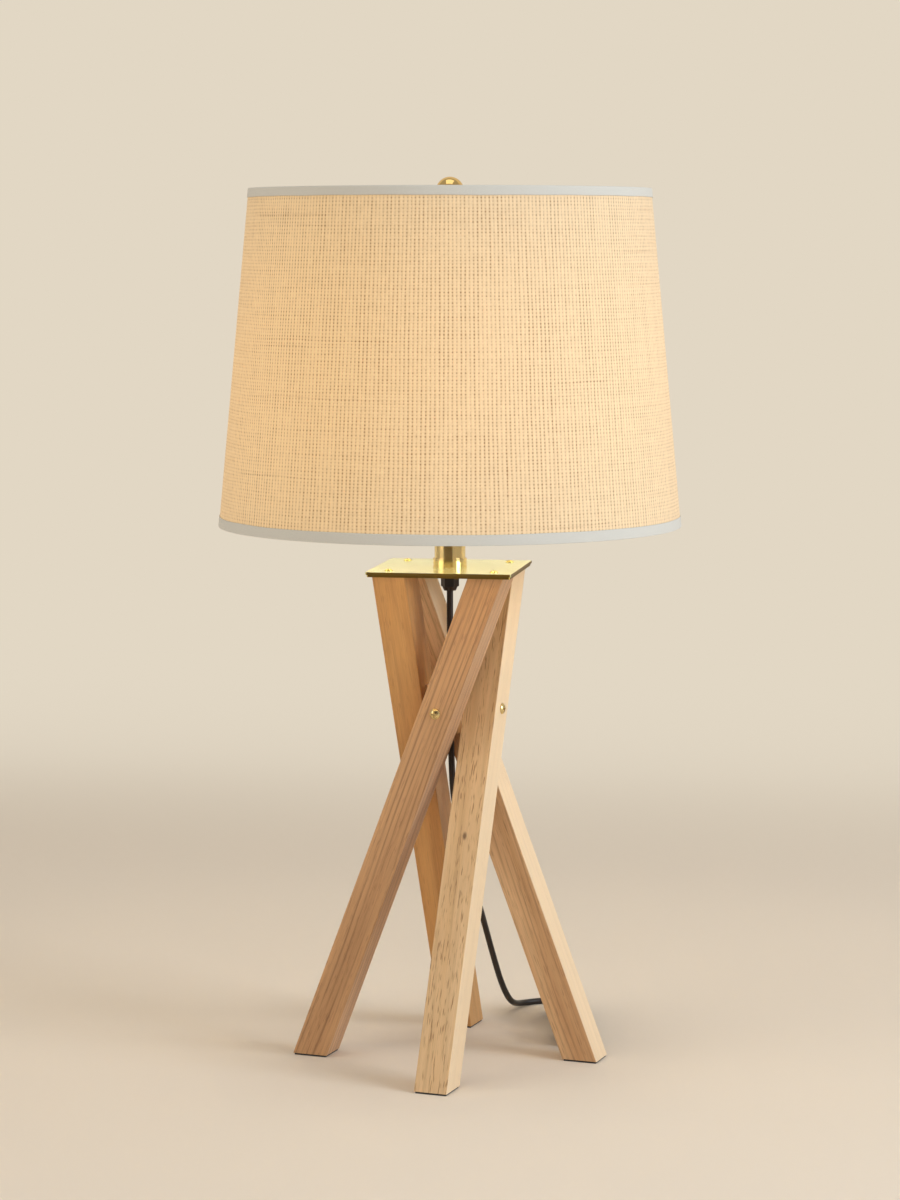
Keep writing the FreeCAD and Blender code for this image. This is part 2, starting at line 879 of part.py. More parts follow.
sleeve_bottom = saddle_top + rest_gap
for side, sign in (("left", -1), ("right", 1)):
    sleeve_node = "harp_sleeve_" + side
    sleeve = turned(sleeve_node, rectangle(
        cell("sleeve_bore") / 2, cell("sleeve_outer") / 2, 0, cell("sleeve_length")))
    place(sleeve, (sign * (cell("harp_foot") - cell("sleeve_shift")), 0, sleeve_bottom))
    keep(sleeve, sleeve_node)


# ---------------------------------------------------------------- lamp holder

shell_outer = cell("shell_outer") / 2
shell_inner = shell_outer - cell("shell_wall")
shell_bottom = saddle_top + cell("shell_lift")
shell_top = shell_bottom + cell("shell_height")
card_outer = shell_inner - cell("layer_gap")
card_inner = card_outer - cell("liner_wall")
body_bottom = saddle_top + cell("holder_body_lift")
body_top = body_bottom + cell("holder_body_height")
body_radius = cell("holder_body_dia") / 2
waist_radius = cell("holder_waist_dia") / 2
waist_top = body_bottom + cell("holder_waist_height")
knob_height = saddle_top + cell("knob_rise")
knob_radius = cell("knob_shaft") / 2
knob_hole = knob_radius + rest_gap


def side_hole(body, name, radius):
    """Cut the hole for the knob's shaft in the front wall of a shell."""
    cut_through(body, name, "XZ_Plane", 0.0, shell_outer * 2,
                lambda sketch: circle_in(sketch, 0, knob_height, radius), reverse=True)


def build_holder_cap():
    """Build the cup that stands on the saddle and takes the shell in its rim."""
    outer = cell("holder_cap_outer") / 2
    inner = shell_outer + cell("layer_gap")
    wall = cell("holder_wall")
    top = saddle_top + cell("holder_cap_height")
    step = shell_bottom - rest_gap
    return keep(turned("holder_cap", [
        (pipe_hole, saddle_top), (outer - 2 * wall, saddle_top), (outer, saddle_top + 2 * wall),
        (outer, top), (inner, top), (inner, step), (inner - wall, step),
        (inner - wall, saddle_top + 2 * wall), (pipe_hole, saddle_top + 2 * wall)]),
        "holder_cap")


build_holder_cap()
holder_shell = turned("holder_shell", rectangle(
    shell_inner, shell_outer, shell_bottom, shell_top))
side_hole(holder_shell, "shell_knob_hole", knob_hole)
keep(holder_shell, "holder_shell")
holder_liner = turned("holder_liner", rectangle(
    card_inner, card_outer, shell_bottom, shell_top - rest_gap))
side_hole(holder_liner, "liner_knob_hole", knob_hole)
keep(holder_liner, "holder_liner")


def build_holder_body():
    """Build the insulating body that carries the contacts, the screws and the knob."""
    body = turned("holder_body", [
        (0, body_bottom), (waist_radius, body_bottom), (waist_radius, waist_top),
        (body_radius, waist_top), (body_radius, body_top), (0, body_top)])
    sketch = sketch_on(body, "holder_foot_outline", "XY_Plane", saddle_top + 2 * cell("holder_wall"))
    circle_in(sketch, 0, 0, waist_radius)
    circle_in(sketch, 0, 0, pipe_radius + cell("holder_foot_clearance"))
    foot = body.newObject("PartDesign::Pad", "holder_foot")
    foot.Profile = sketch
    bind(foot, "Length", body_bottom - saddle_top - 2 * cell("holder_wall"))
    shaft_end = body_radius - cell("knob_bite")
    cut_through(body, "knob_bore", "XZ_Plane", shaft_end, cell("knob_bite") + rest_gap,
                lambda shape: circle_in(shape, 0, knob_height, knob_radius + cell("shaft_fit")),
                reverse=True)
    bore = cell("terminal_shank") / 2 + cell("shaft_fit")
    level = body_bottom + cell("holder_waist_height") / 2
    bite = cell("terminal_bite") + rest_gap
    for name, lift, back in (("left_terminal_bore", -waist_radius, True),
                             ("right_terminal_bore", waist_radius, False)):
        cut_through(body, name, "YZ_Plane", lift, bite,
                    lambda shape: circle_in(shape, 0, level, bore), reverse=back)
    return keep(body, "holder_body")


build_holder_body()
keep(turned("screw_shell", rectangle(
    cell("screw_shell_outer") / 2 - cell("screw_shell_wall"), cell("screw_shell_outer") / 2,
    body_top, body_top + cell("screw_shell_height"))), "screw_shell")
contact_top = body_top + cell("contact_thick")
keep(turned("centre_contact", rectangle(
    0, cell("contact_dia") / 2, body_top, contact_top)), "centre_contact")

terminal_head = cell("terminal_head") / 2
terminal_shank = cell("terminal_shank") / 2
terminal = turned("terminal_screw", [
    (0, -cell("terminal_bite")), (terminal_shank, -cell("terminal_bite")),
    (terminal_shank, 0), (terminal_head, 0), (terminal_head, cell("terminal_head_thick")),
    (0, cell("terminal_head_thick"))])
terminal_level = float(body_bottom + cell("holder_waist_height") / 2)
copies("terminal_screws", terminal, [
    Placement(Vector(sign * float(waist_radius), 0, terminal_level),
              Rotation(Vector(0, 1, 0), sign * 90))
    for sign in (-1, 1)])

knob_start = shell_outer + rest_gap
shaft_start = body_radius - cell("knob_bite") + rest_gap
knob_end = knob_start + cell("knob_length")
knob_outer = cell("knob_dia") / 2
switch_knob = turned("switch_knob", [
    (0, shaft_start), (knob_radius, shaft_start), (knob_radius, knob_start),
    (knob_outer * KNOB_FACE, knob_start), (knob_outer, knob_start + knob_outer * KNOB_TAPER),
    (knob_outer, knob_end), (0, knob_end)])
place(switch_knob, (0, 0, knob_height), Vector(1, 0, 0), 90)
keep(switch_knob, "switch_knob")


# ---------------------------------------------------------------- bulb

button_bottom = contact_top + rest_gap
base_bottom = button_bottom + cell("button_thick")
base_top = base_bottom + cell("bulb_base_height")
bulb_radius = cell("bulb_dia") / 2
bulb_centre = button_bottom + cell("bulb_length") - bulb_radius
throat = cell("bulb_throat") / 2
bulb_wall = cell("bulb_wall")


def build_bulb_glass():
    """Build the bulb's glass as a shell: a ball and a throat that leans in to the base."""
    inner = bulb_radius - bulb_wall
    low = bulb_radius * FLANK_DROP
    flank = root(bulb_radius * bulb_radius - low * low)
    inner_low = inner * FLANK_DROP
    inner_flank = root(inner * inner - inner_low * inner_low)
    return keep(turned("bulb_glass", [
        (throat - bulb_wall, base_top), (throat, base_top), (flank, bulb_centre - low),
        Arc(0, bulb_centre, 1, "up"), (0, bulb_centre + bulb_radius),
        (0, bulb_centre + inner),
        Arc(0, bulb_centre, -1, "across"), (inner_flank, bulb_centre - inner_low)]),
        "bulb_glass")


build_bulb_glass()


def build_bulb_base():
    """Build the bulb's screw base, its thread shown as low round ridges."""
    radius = cell("bulb_base_dia") / 2
    core = radius - cell("thread_depth")
    pitch = cell("thread_pitch")
    rise, crest, fall = RIDGE_SHARES
    points = [(0, base_bottom), (cell("button_dia") / 2, base_bottom),
              (core, base_bottom + cell("base_shoulder"))]
    for number in range(THREAD_RIDGES):
        level = base_bottom + cell("thread_start") + pitch * number
        points += [(core, level), (radius, level + pitch * rise),
                   (radius, level + pitch * crest), (core, level + pitch * fall)]
    points += [(core, base_top), (0, base_top)]
    return keep(turned("bulb_base", points), "bulb_base")


build_bulb_base()
keep(turned("bulb_contact", [
    (0, button_bottom), (cell("contact_dia") / 4, button_bottom),
    (cell("button_dia") / 2, base_bottom), (0, base_bottom)]), "bulb_contact")


# ---------------------------------------------------------------- shade

shade_low = cell("shade_bottom")
shade_high = cell("shade_top")
shade_flare = (cell("shade_bottom_radius") - cell("shade_top_radius")) / (shade_high - shade_low)
tape = cell("tape_thick")
gap = cell("layer_gap")


def skin_radius(height, inset):
    """Return the shade's radius at a height, a distance in from the tape's face."""
    return cell("shade_bottom_radius") - (height - shade_low) * shade_flare - inset


def cone_band(node, low, high, inset, thick):
    """Build a thin conical band of the shade's wall."""
    return keep(turned(node, [
        (skin_radius(low, inset + thick), low), (skin_radius(low, inset), low),
        (skin_radius(high, inset), high), (skin_radius(high, inset + thick), high)]), node)


fabric_inset = tape + gap
liner_inset = fabric_inset + cell("fabric_thick") + gap
wall_inset = liner_inset + cell("liner_thick")
wall_low = shade_low + tape + gap
wall_high = shade_high - tape - gap
cone_band("shade_fabric", wall_low, wall_high, fabric_inset, cell("fabric_thick"))
cone_band("shade_liner", wall_low, wall_high, liner_inset, cell("liner_thick"))


def rim_tape(node, rim, width, upward):
    """Build the tape folded over one rim of the shade, from outside to inside."""
    end = rim + width if upward else rim - width
    fold = rim + tape if upward else rim - tape
    inside = wall_inset + gap
    points = [
        (skin_radius(rim, 0), rim), (skin_radius(end, 0), end),
        (skin_radius(end, tape), end), (skin_radius(fold, tape), fold),
        (skin_radius(fold, inside), fold), (skin_radius(end, inside), end),
        (skin_radius(end, inside + tape), end), (skin_radius(rim, inside + tape), rim)]
    return keep(turned(node, points), node)


rim_tape("tape_bottom", shade_low, cell("tape_bottom_width"), True)
rim_tape("tape_top", shade_high, cell("tape_top_width"), False)

ring_radius = cell("ring_wire") / 2
ring_inset = wall_inset + gap + tape + rest_gap + ring_radius
ring_low_height = shade_low + tape + gap + ring_radius
ring_high_height = shade_high - tape - gap - ring_radius
bottom_ring = doc.addObject("Part::Torus", "bottom_ring")
bind(bottom_ring, "Radius1", skin_radius(ring_low_height, ring_inset))
bind(bottom_ring, "Radius2", ring_radius)
place(bottom_ring, (0, 0, ring_low_height))
keep(bottom_ring, "bottom_ring")


def build_spider():
    """Build the ring at the shade's top with the three cranked arms that carry it."""
    ring_reach = float(skin_radius(ring_high_height, ring_inset))
    wire = float(ring_radius)
    thick = float(cell("washer_thick"))
    level = float(washer_bottom) + thick / 2
    top = float(ring_high_height)
    washer = Part.makeCylinder(float(cell("washer_outer")) / 2, thick,
                               Vector(0, 0, float(washer_bottom)))
    torus = Part.makeTorus(ring_reach, wire, Vector(0, 0, top))
    arms = []
    inner = float(cell("washer_outer")) / 2 - wire
    bend = ring_reach - float(cell("arm_bend_inset"))
    for number in range(ARM_COUNT):
        arm = bent_rod([Vector(inner, 0, level), Vector(bend, 0, level),
                        Vector(ring_reach, 0, top)], wire, "spider arm")
        arm.rotate(Vector(0, 0, 0), Vector(0, 0, 1), 90 + 360 / ARM_COUNT * number)
        arms.append(arm)
    frame = torus.fuse(arms).cut(washer)
    return code_shape("spider_fitter", frame.removeSplitter())


build_spider()
# the washer that the arms are welded to sits on the harp's stud
keep(turned("spider_hub", rectangle(
    cell("stud_dia") / 2 + cell("stud_fit"), cell("washer_outer") / 2, washer_bottom,
    washer_top)), "spider_hub")


# ---------------------------------------------------------------- finial

def build_finial():
    """Build the finial: a ball on a neck and a flange, bored from below for the stud."""
    base = washer_top + rest_gap
    ball = cell("finial_ball") / 2
    centre = cell("finial_top") - ball
    neck = cell("finial_neck") / 2
    flange = cell("finial_flange") / 2
    flange_top = base + cell("finial_flange_thick")
    bore = cell("stud_dia") / 2 + cell("stud_fit")
    bore_top = base + cell("finial_bore_depth")
    meet = centre - root(ball * ball - neck * neck)
    return keep(turned("finial", [
        (bore, base), (flange, base), (flange, flange_top), (neck, flange_top), (neck, meet),
        Arc(0, centre, 1, "up"), (0, cell("finial_top")), (0, bore_top), (bore, bore_top)]),
        "finial")


build_finial()


# ---------------------------------------------------------------- cord

cord_r = float(cord_radius)
hank_base = float(cell("tie_thick")) + float(rest_gap) + cord_r
layer_rise = float(cell("layer_rise"))
layer_lean = float(cell("layer_lean"))
fold = float(cell("fold_radius"))
half_run = float(cell("hank_half_run"))
waist = float(cell("waist_half"))
hank_place = Placement(
    Vector(float(cell("hank_across")), float(cell("hank_back")), 0),
    Rotation(Vector(0, 0, 1), float(cell("hank_skew"))))
cord_exit = Vector(0, 0, float(gland_bottom))
hank_start = hank_place.multVec(Vector(fold, half_run + float(cell("cord_dia")), hank_base))
entry_run = float(cell("cord_dia") + cell("hank_entry_run"))
hank_entry = hank_place.multVec(Vector(fold, half_run + entry_run, hank_base))

# the cord hangs straight from the gland, leans back past the legs and turns on the floor
CORD_POINTS = [
    (0.0, 0.0, 230.0), (2.5, 18.2, 183.6), (7.8, 42.9, 140.3), (13.5, 72.0, 100.1),
    (18.0, 101.4, 60.0), (21.7, 125.8, 29.5), (25.5, 143.7, 12.0), (28.1, 159.9, 4.8),
    (33.6, 173.4, 2.6), (46.0, 182.7, 2.6), (61.4, 184.7, 2.8), (75.7, 178.8, 3.1),
]
cord_points = [cord_exit] + [Vector(*point) for point in CORD_POINTS] + [hank_entry, hank_start]
code_shape("cord_free", bent_rod(cord_points, cord_r, "free cord"))

inner_lead = doc.addObject("Part::Cylinder", "inner_lead")
bind(inner_lead, "Radius", cord_radius)
bind(inner_lead, "Height", pipe_top - cell("lead_inset") - gland_bottom)
place(inner_lead, (0, 0, gland_bottom))
keep(inner_lead, "inner_lead")


def layer_shift(layer):
    """Return how far a layer of the hank leans over and how high it lies."""
    return -layer_lean * layer, hank_base + layer_rise * layer


def hank_knots():
    """Return the hank's points with the directions that it runs through them.

    Each loop is a run towards the viewer, a near fold, a run away that climbs a layer,
    and a far fold. The hank ends after the near fold of its top layer.
    """
    away = Vector(0, 1, 0)
    toward = Vector(0, -1, 0)
    climb = unit(Vector(-layer_lean * CLIMB_STEEPNESS, 2 * half_run,
                        layer_rise * CLIMB_STEEPNESS))
    lead_in = float(cell("cord_dia"))
    knots = [(Vector(fold, half_run + lead_in, hank_base), toward)]
    for layer in range(HANK_LAYERS):
        shift, level = layer_shift(layer)
        knots.append((Vector(fold + shift, half_run, level), toward))
        knots.append((Vector(waist + shift, 0, level), toward))
        knots.append((Vector(fold + shift, -half_run, level), toward))
        knots.append((Vector(-fold + shift, -half_run, level), away))
        if layer < HANK_LAYERS - 1:
            middle_shift, middle_level = layer_shift(layer + 0.5)
            next_shift, next_level = layer_shift(layer + 1)
            knots.append((Vector(-waist + middle_shift, 0, middle_level), climb))
            knots.append((Vector(-fold + next_shift, half_run, next_level), away))
    shift, level = layer_shift(HANK_LAYERS - 1)
    knots.append((Vector(-fold + shift, -half_run + lead_in, level), away))
    return knots


def tangent_arc(start, apex, end):
    """Return the arc that leaves one point and reaches another along its two tangents."""
    inward = unit(apex - start)
    outward = unit(end - apex)
    half = inward.getAngle(outward) / 2
    if half < 1e-6:
        return Part.LineSegment(start, end).toShape()
    radius = (apex - start).Length / math.tan(half)
    middle = apex + unit(outward - inward) * (radius / math.cos(half) - radius)
    return Part.Arc(start, middle, end).toShape()


def biarc(start, leaving, end, arriving):
    """Return two arcs that join two points smoothly along the given directions."""
    chord = end - start
    both = leaving + arriving
    spread = 2 * (1 - leaving.dot(arriving))
    if spread < 1e-9:
        straight = chord.dot(leaving)
        if (chord - leaving * straight).Length < 1e-7:
            return [Part.LineSegment(start, end).toShape()]
        reach = chord.dot(chord) / (4 * straight)
    else:
        slant = chord.dot(both)
        reach = (-slant + math.sqrt(slant ** 2 + spread * chord.dot(chord))) / spread
    first = start + leaving * reach
    second = end - arriving * reach
    joint = (first + second) * 0.5
    return [tangent_arc(start, first, joint), tangent_arc(joint, second, end)]


def least_gap(edges, dia):
    """Return the least gap of a tube to itself, measured on points along its centre."""
    spots = []
    travelled = 0.0
    for edge in edges:
        count = max(2, int(edge.Length))
        first, last = edge.ParameterRange
        for step in range(count):
            spots.append((travelled + edge.Length * step / count,
                          edge.valueAt(first + (last - first) * step / count)))
        travelled += edge.Length
    least = 1e9
    for number, (place_here, here) in enumerate(spots):
        for place_there, there in spots[number + 1:]:
            if place_there - place_here > 4 * dia:
                least = min(least, (there - here).Length)
    return least - dia


def build_hank():
    """Build the hank as one unbroken tube."""
    knots = hank_knots()
    edges = []
    for (start, leaving), (end, arriving) in zip(knots, knots[1:]):
        edges += biarc(start, leaving, end, arriving)
    gap_left = least_gap(edges, 2 * cord_r)
    path = Part.Wire(edges)
    print("hank: %.1f mm, least gap %.2f mm" % (path.Length, gap_left))
    if gap_left < float(cell("hank_least_gap")):
        raise RuntimeError("the hank's turns are too close")
    tube = sweep(path, knots[0][0], knots[0][1], cord_r, "hank")
    return code_shape("cord_hank", tube, hank_place)


build_hank()

# the tail rises from the top layer's near fold to the plug, which lies on the hank
top_shift, top_level = layer_shift(HANK_LAYERS - 1)
plug_centre = top_shift - float(cell("plug_shift"))
plug_bottom = top_level + cord_r + float(rest_gap)
plug_level = plug_bottom + float(cell("plug_height")) / 2
plug_start = float(cell("plug_start"))
tail_start = Vector(-fold + top_shift, -half_run + 2 * cord_r, top_level)
tail_end = Vector(plug_centre, plug_start, plug_level)
# each pair is a place along the tail and its share of the way over and up
TAIL_BENDS = [(8.6, 0.0), (19.1, 0.21), (32.4, 0.79), (42.9, 1.0)]
tail_points = [tail_start]
for distance, share in TAIL_BENDS:
    tail_points.append(Vector(
        tail_start.x + (tail_end.x - tail_start.x) * share, tail_start.y + distance,
        tail_start.z + (tail_end.z - tail_start.z) * share))
tail_points.append(tail_end)
code_shape("cord_tail", bent_rod(tail_points, cord_r, "cord tail"), hank_place)


def build_tie():
    """Build the band around the hank's waist: it leans as the layers do."""
    body = new_body("hank_tie")
    rise = cell("layer_rise")
    slope = cell("layer_lean") / rise
    slant = root(1 + slope * slope)
    thick = cell("tie_thick")
    base = thick + rest_gap + cord_radius
    top = base + rise * (HANK_LAYERS - 1) + cord_radius + rest_gap
    reach = cell("waist_half") + (cord_radius + rest_gap) * slant

    def band(low, high, side):
        return [(-side - slope * (low - base), low), (side - slope * (low - base), low),
                (side - slope * (high - base), high), (-side - slope * (high - base), high)]

    padded(body, "hank_tie", "XZ_Plane", 0.0, cell("tie_width"),
           band(as_size(0), top + thick, reach + thick * slant), band(thick, top, reach),
           middle=True)
    place(body, (cell("hank_across"), cell("hank_back"), 0), Vector(0, 0, 1), cell("hank_skew"))
    return keep(body, "hank_tie")


build_tie()


def build_plug():
    """Build the plug's body, wider at its blades, with its long edges rounded."""
    start = plug_start
    length = float(cell("plug_length"))
    wide = float(cell("plug_width")) / 2
    narrow = float(cell("plug_neck")) / 2
    shoulder = start + length * PLUG_SHOULDER
    corners = [
        (plug_centre - narrow, start), (plug_centre + narrow, start),
        (plug_centre + wide, shoulder), (plug_centre + wide, start + length),
        (plug_centre - wide, start + length), (plug_centre - wide, shoulder)]
    face = Part.Face(Part.makePolygon(
        [Vector(across, back, plug_bottom) for across, back in corners + corners[:1]]))
    block = face.extrude(Vector(0, 0, float(cell("plug_height"))))
    upright = [edge for edge in block.Edges
               if abs(edge.tangentAt(0).z) > 0.99 and edge.CenterOfMass.y < start + length - 1]
    block = block.makeFillet(float(cell("plug_round")), upright)
    return code_shape("plug_body", block, hank_place)


def build_blades():
    """Build the plug's two flat blades, as separate solids."""
    thick = float(cell("blade_thick"))
    width = float(cell("blade_width"))
    spacing = float(cell("blade_spacing"))
    front = plug_start + float(cell("plug_length"))
    blades = [
        Part.makeBox(thick, float(cell("blade_length")), width, Vector(
            plug_centre + sign * spacing / 2 - thick / 2, front, plug_level - width / 2))
        for sign in (-1, 1)]
    return code_shape("plug_blades", Part.makeCompound(blades), hank_place)


build_plug()
build_blades()


# ---------------------------------------------------------------- checks and files

def check_and_write():
    """Check every object and write each sub-part to a file of its own."""
    doc.recompute()
    for item in doc.Objects:
        bad = {"Invalid", "Error"} & set(item.State)
        if bad:
            raise RuntimeError("%s is in state %s" % (item.Label, ", ".join(sorted(bad))))
    for item in sub_parts:
        if item.Shape.isNull() or not item.Shape.isValid():
            raise RuntimeError("%s has a bad shape" % item.Label)
    os.makedirs("parts", exist_ok=True)
    for item in sub_parts:
        item.Shape.exportStep(os.path.join("parts", item.Label + ".step"))
    print("%d sub-parts written" % len(sub_parts))


check_and_write()
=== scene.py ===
"""Looks of a lit table lamp on four crossed wooden legs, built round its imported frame.

Every piece is in metres in the part's own frame: the origin is on the floor on the axis of
the lamp's neck, +Z is up and the brass plate's sides lie along X and Y.
"""

import logging
import math
from dataclasses import dataclass, field
from enum import Enum
from typing import ClassVar, Sequence, Union

import bpy
import numpy as np
from mathutils import Euler, Matrix, Vector

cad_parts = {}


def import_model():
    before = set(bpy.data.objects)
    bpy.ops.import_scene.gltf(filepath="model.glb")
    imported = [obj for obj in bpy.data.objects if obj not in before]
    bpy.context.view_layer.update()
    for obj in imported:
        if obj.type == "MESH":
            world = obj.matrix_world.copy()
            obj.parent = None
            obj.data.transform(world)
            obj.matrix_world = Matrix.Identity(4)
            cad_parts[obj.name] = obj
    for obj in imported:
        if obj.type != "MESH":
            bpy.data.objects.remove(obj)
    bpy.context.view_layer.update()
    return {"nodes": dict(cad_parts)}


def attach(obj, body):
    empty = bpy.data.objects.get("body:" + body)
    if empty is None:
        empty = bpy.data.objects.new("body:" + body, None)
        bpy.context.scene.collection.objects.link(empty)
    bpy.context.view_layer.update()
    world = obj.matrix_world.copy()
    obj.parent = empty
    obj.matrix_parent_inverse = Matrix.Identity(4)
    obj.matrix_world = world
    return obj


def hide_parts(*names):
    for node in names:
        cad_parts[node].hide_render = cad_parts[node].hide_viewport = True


logging.basicConfig(level=logging.INFO, format="%(message)s")
log = logging.getLogger("table_lamp")

Socket = bpy.types.NodeSocket
Piece = bpy.types.Object
Point = tuple[float, float, float]
Colour = tuple[float, float, float, float]
Value = Union[float, Sequence[float], Socket]

MM = 0.001


def paint(red: int, green: int, blue: int) -> Colour:
    """Return a linear colour with full alpha.

    Args:
        red: the red share, 0 to 255, as a screen shows it.
        green: the green share, on the same scale.
        blue: the blue share, on the same scale.

    Returns:
        The colour as the shaders take it.
    """
    shares = [
        part / 12.92 if part <= 0.04045 else ((part + 0.055) / 1.055) ** 2.4
        for part in (red / 255, green / 255, blue / 255)]
    return (*shares, 1.0)


BLACK: Colour = (0.0, 0.0, 0.0, 1.0)


# ---- node trees

class Graph:
    """A node tree that is being drawn: it adds nodes, fills their sockets and joins them."""

    def __init__(self, tree: bpy.types.NodeTree) -> None:
        """Take the tree to draw in."""
        self.tree = tree

    def add(self, kind: str, fill: dict | None = None, **settings) -> bpy.types.Node:
        """Add a node.

        Args:
            kind: the node's type name.
            fill: socket name or number to a value or to another node's socket.
            **settings: the node's own options, set before its sockets are filled.

        Returns:
            The new node.
        """
        node = self.tree.nodes.new(kind)
        node.location = (190 * (len(self.tree.nodes) % 12), -260 * (len(self.tree.nodes) // 12))
        for name, value in settings.items():
            setattr(node, name, value)
        for key, value in (fill or {}).items():
            self.feed(node.inputs[key], value)
        return node

    def feed(self, socket: Socket, value: Value) -> None:
        """Give a socket a fixed value, or join another node's socket to it."""
        if isinstance(value, bpy.types.NodeSocket):
            self.tree.links.new(value, socket)
        else:
            socket.default_value = value

    def sum(self, operation: str, *values: Value) -> Socket:
        """Return the result of a Math node on these values."""
        return self.add("ShaderNodeMath", dict(enumerate(values)), operation=operation).outputs[0]

    def times(self, first: Value, second: Value) -> Socket:
        """Return one value times another."""
        return self.sum("MULTIPLY", first, second)

    def plus(self, first: Value, second: Value) -> Socket:
        """Return one value plus another."""
        return self.sum("ADD", first, second)

    def linear(self, value: Value, factor: Value, start: Value) -> Socket:
        """Return a value times a factor, plus a start."""
        return self.sum("MULTIPLY_ADD", value, factor, start)

    def step(self, value: Value, low: float, high: float, start: float = 0.0,
             end: float = 1.0) -> Socket:
        """Return a smooth change from start to end while the value goes from low to high."""
        return self.add("ShaderNodeMapRange", {
            "Value": value, "From Min": low, "From Max": high, "To Min": start, "To Max": end},
            interpolation_type="SMOOTHSTEP").outputs["Result"]

    def blend(self, share: Value, first: Value, second: Value, mode: str = "MIX") -> Socket:
        """Return the second colour laid over the first by a share."""
        return self.add("ShaderNodeMix", {0: share, 6: first, 7: second},
                        data_type="RGBA", blend_type=mode).outputs[2]

    def stretch(self, vector: Socket, scale: Sequence[float],
                turn: Sequence[float] = (0, 0, 0), shift: Sequence[float] = (0, 0, 0)) -> Socket:
        """Return coordinates that are scaled, turned and shifted, in this order."""
        return self.add("ShaderNodeMapping", {
            "Vector": vector, "Scale": scale, "Rotation": turn, "Location": shift}).outputs[0]

    def noise(self, vector: Socket, scale: Value = 1.0, detail: float = 2.0,
              roughness: float = 0.5) -> Socket:
        """Return soft noise between 0 and 1, scale cells to a metre."""
        return self.add("ShaderNodeTexNoise", {
            "Vector": vector, "Scale": scale, "Detail": detail,
            "Roughness": roughness}).outputs["Fac"]

    def streaks(self, vector: Socket, cells: Sequence[float], detail: float = 2.0,
                roughness: float = 0.5) -> Socket:
        """Return soft noise with its own number of cells to a metre on each axis."""
        return self.noise(self.stretch(vector, cells), 1.0, detail, roughness)

    def toned(self, colour: Socket, tone: Socket) -> Socket:
        """Return a colour made darker or lighter by a tone, with 1 for no change."""
        return self.blend(1.0, colour, self.join(tone, tone, tone), "MULTIPLY")

    def mix(self, share: Value, first: Socket, second: Socket) -> Socket:
        """Return two shaders mixed by the second one's share."""
        return self.add("ShaderNodeMixShader", {0: share, 1: first, 2: second}).outputs[0]

    def parts(self, vector: Socket) -> Sequence[Socket]:
        """Return the X, Y and Z of a vector."""
        return self.add("ShaderNodeSeparateXYZ", {0: vector}).outputs

    def join(self, across: Value, up: Value, deep: Value = 0.0) -> Socket:
        """Return a vector made of three values."""
        return self.add("ShaderNodeCombineXYZ", {0: across, 1: up, 2: deep}).outputs[0]

    def bump(self, height: Value, distance: float, strength: float = 1.0) -> Socket:
        """Return the normal of a surface raised by a height, distance metres at its full."""
        return self.add("ShaderNodeBump", {
            "Height": height, "Distance": distance, "Strength": strength}).outputs[0]


class Space(Enum):
    """Which coordinates a finish's pattern lies on."""

    OBJECT = "Object"
    UV = "UV"


class Effect:
    """A pattern kept as one node group, which finishes place with values of their own."""

    title: ClassVar[str] = ""
    takes: ClassVar[dict] = {}
    gives: ClassVar[dict] = {}

    def draw(self, graph: Graph, given: Sequence[Socket]) -> dict[str, Socket]:
        """Draw the pattern.

        Args:
            graph: the group's tree.
            given: the group's inputs, by name.

        Returns:
            The sockets that the group puts out, by name.
        """
        raise NotImplementedError

    def tree(self) -> bpy.types.NodeTree:
        """Return the group, drawn the first time it is asked for."""
        known = bpy.data.node_groups.get(self.title)
        if known:
            return known
        tree = bpy.data.node_groups.new(self.title, "ShaderNodeTree")
        for name, start in self.takes.items():
            kind = {float: "Float", tuple: "Color", str: "Vector"}[type(start)]
            socket = tree.interface.new_socket(
                name, in_out="INPUT", socket_type="NodeSocket" + kind)
            if kind != "Vector":
                socket.default_value = start
        for name, kind in self.gives.items():
            tree.interface.new_socket(name, in_out="OUTPUT", socket_type="NodeSocket" + kind)
        graph = Graph(tree)
        given = graph.add("NodeGroupInput").outputs
        graph.add("NodeGroupOutput", self.draw(graph, given))
        return tree

    def place(self, graph: Graph, fill: dict) -> Sequence[Socket]:
        """Place the group in a material and return its outputs."""
        node = graph.add("ShaderNodeGroup", node_tree=self.tree())
        for name, value in fill.items():
            graph.feed(node.inputs[name], value)
        return node.outputs


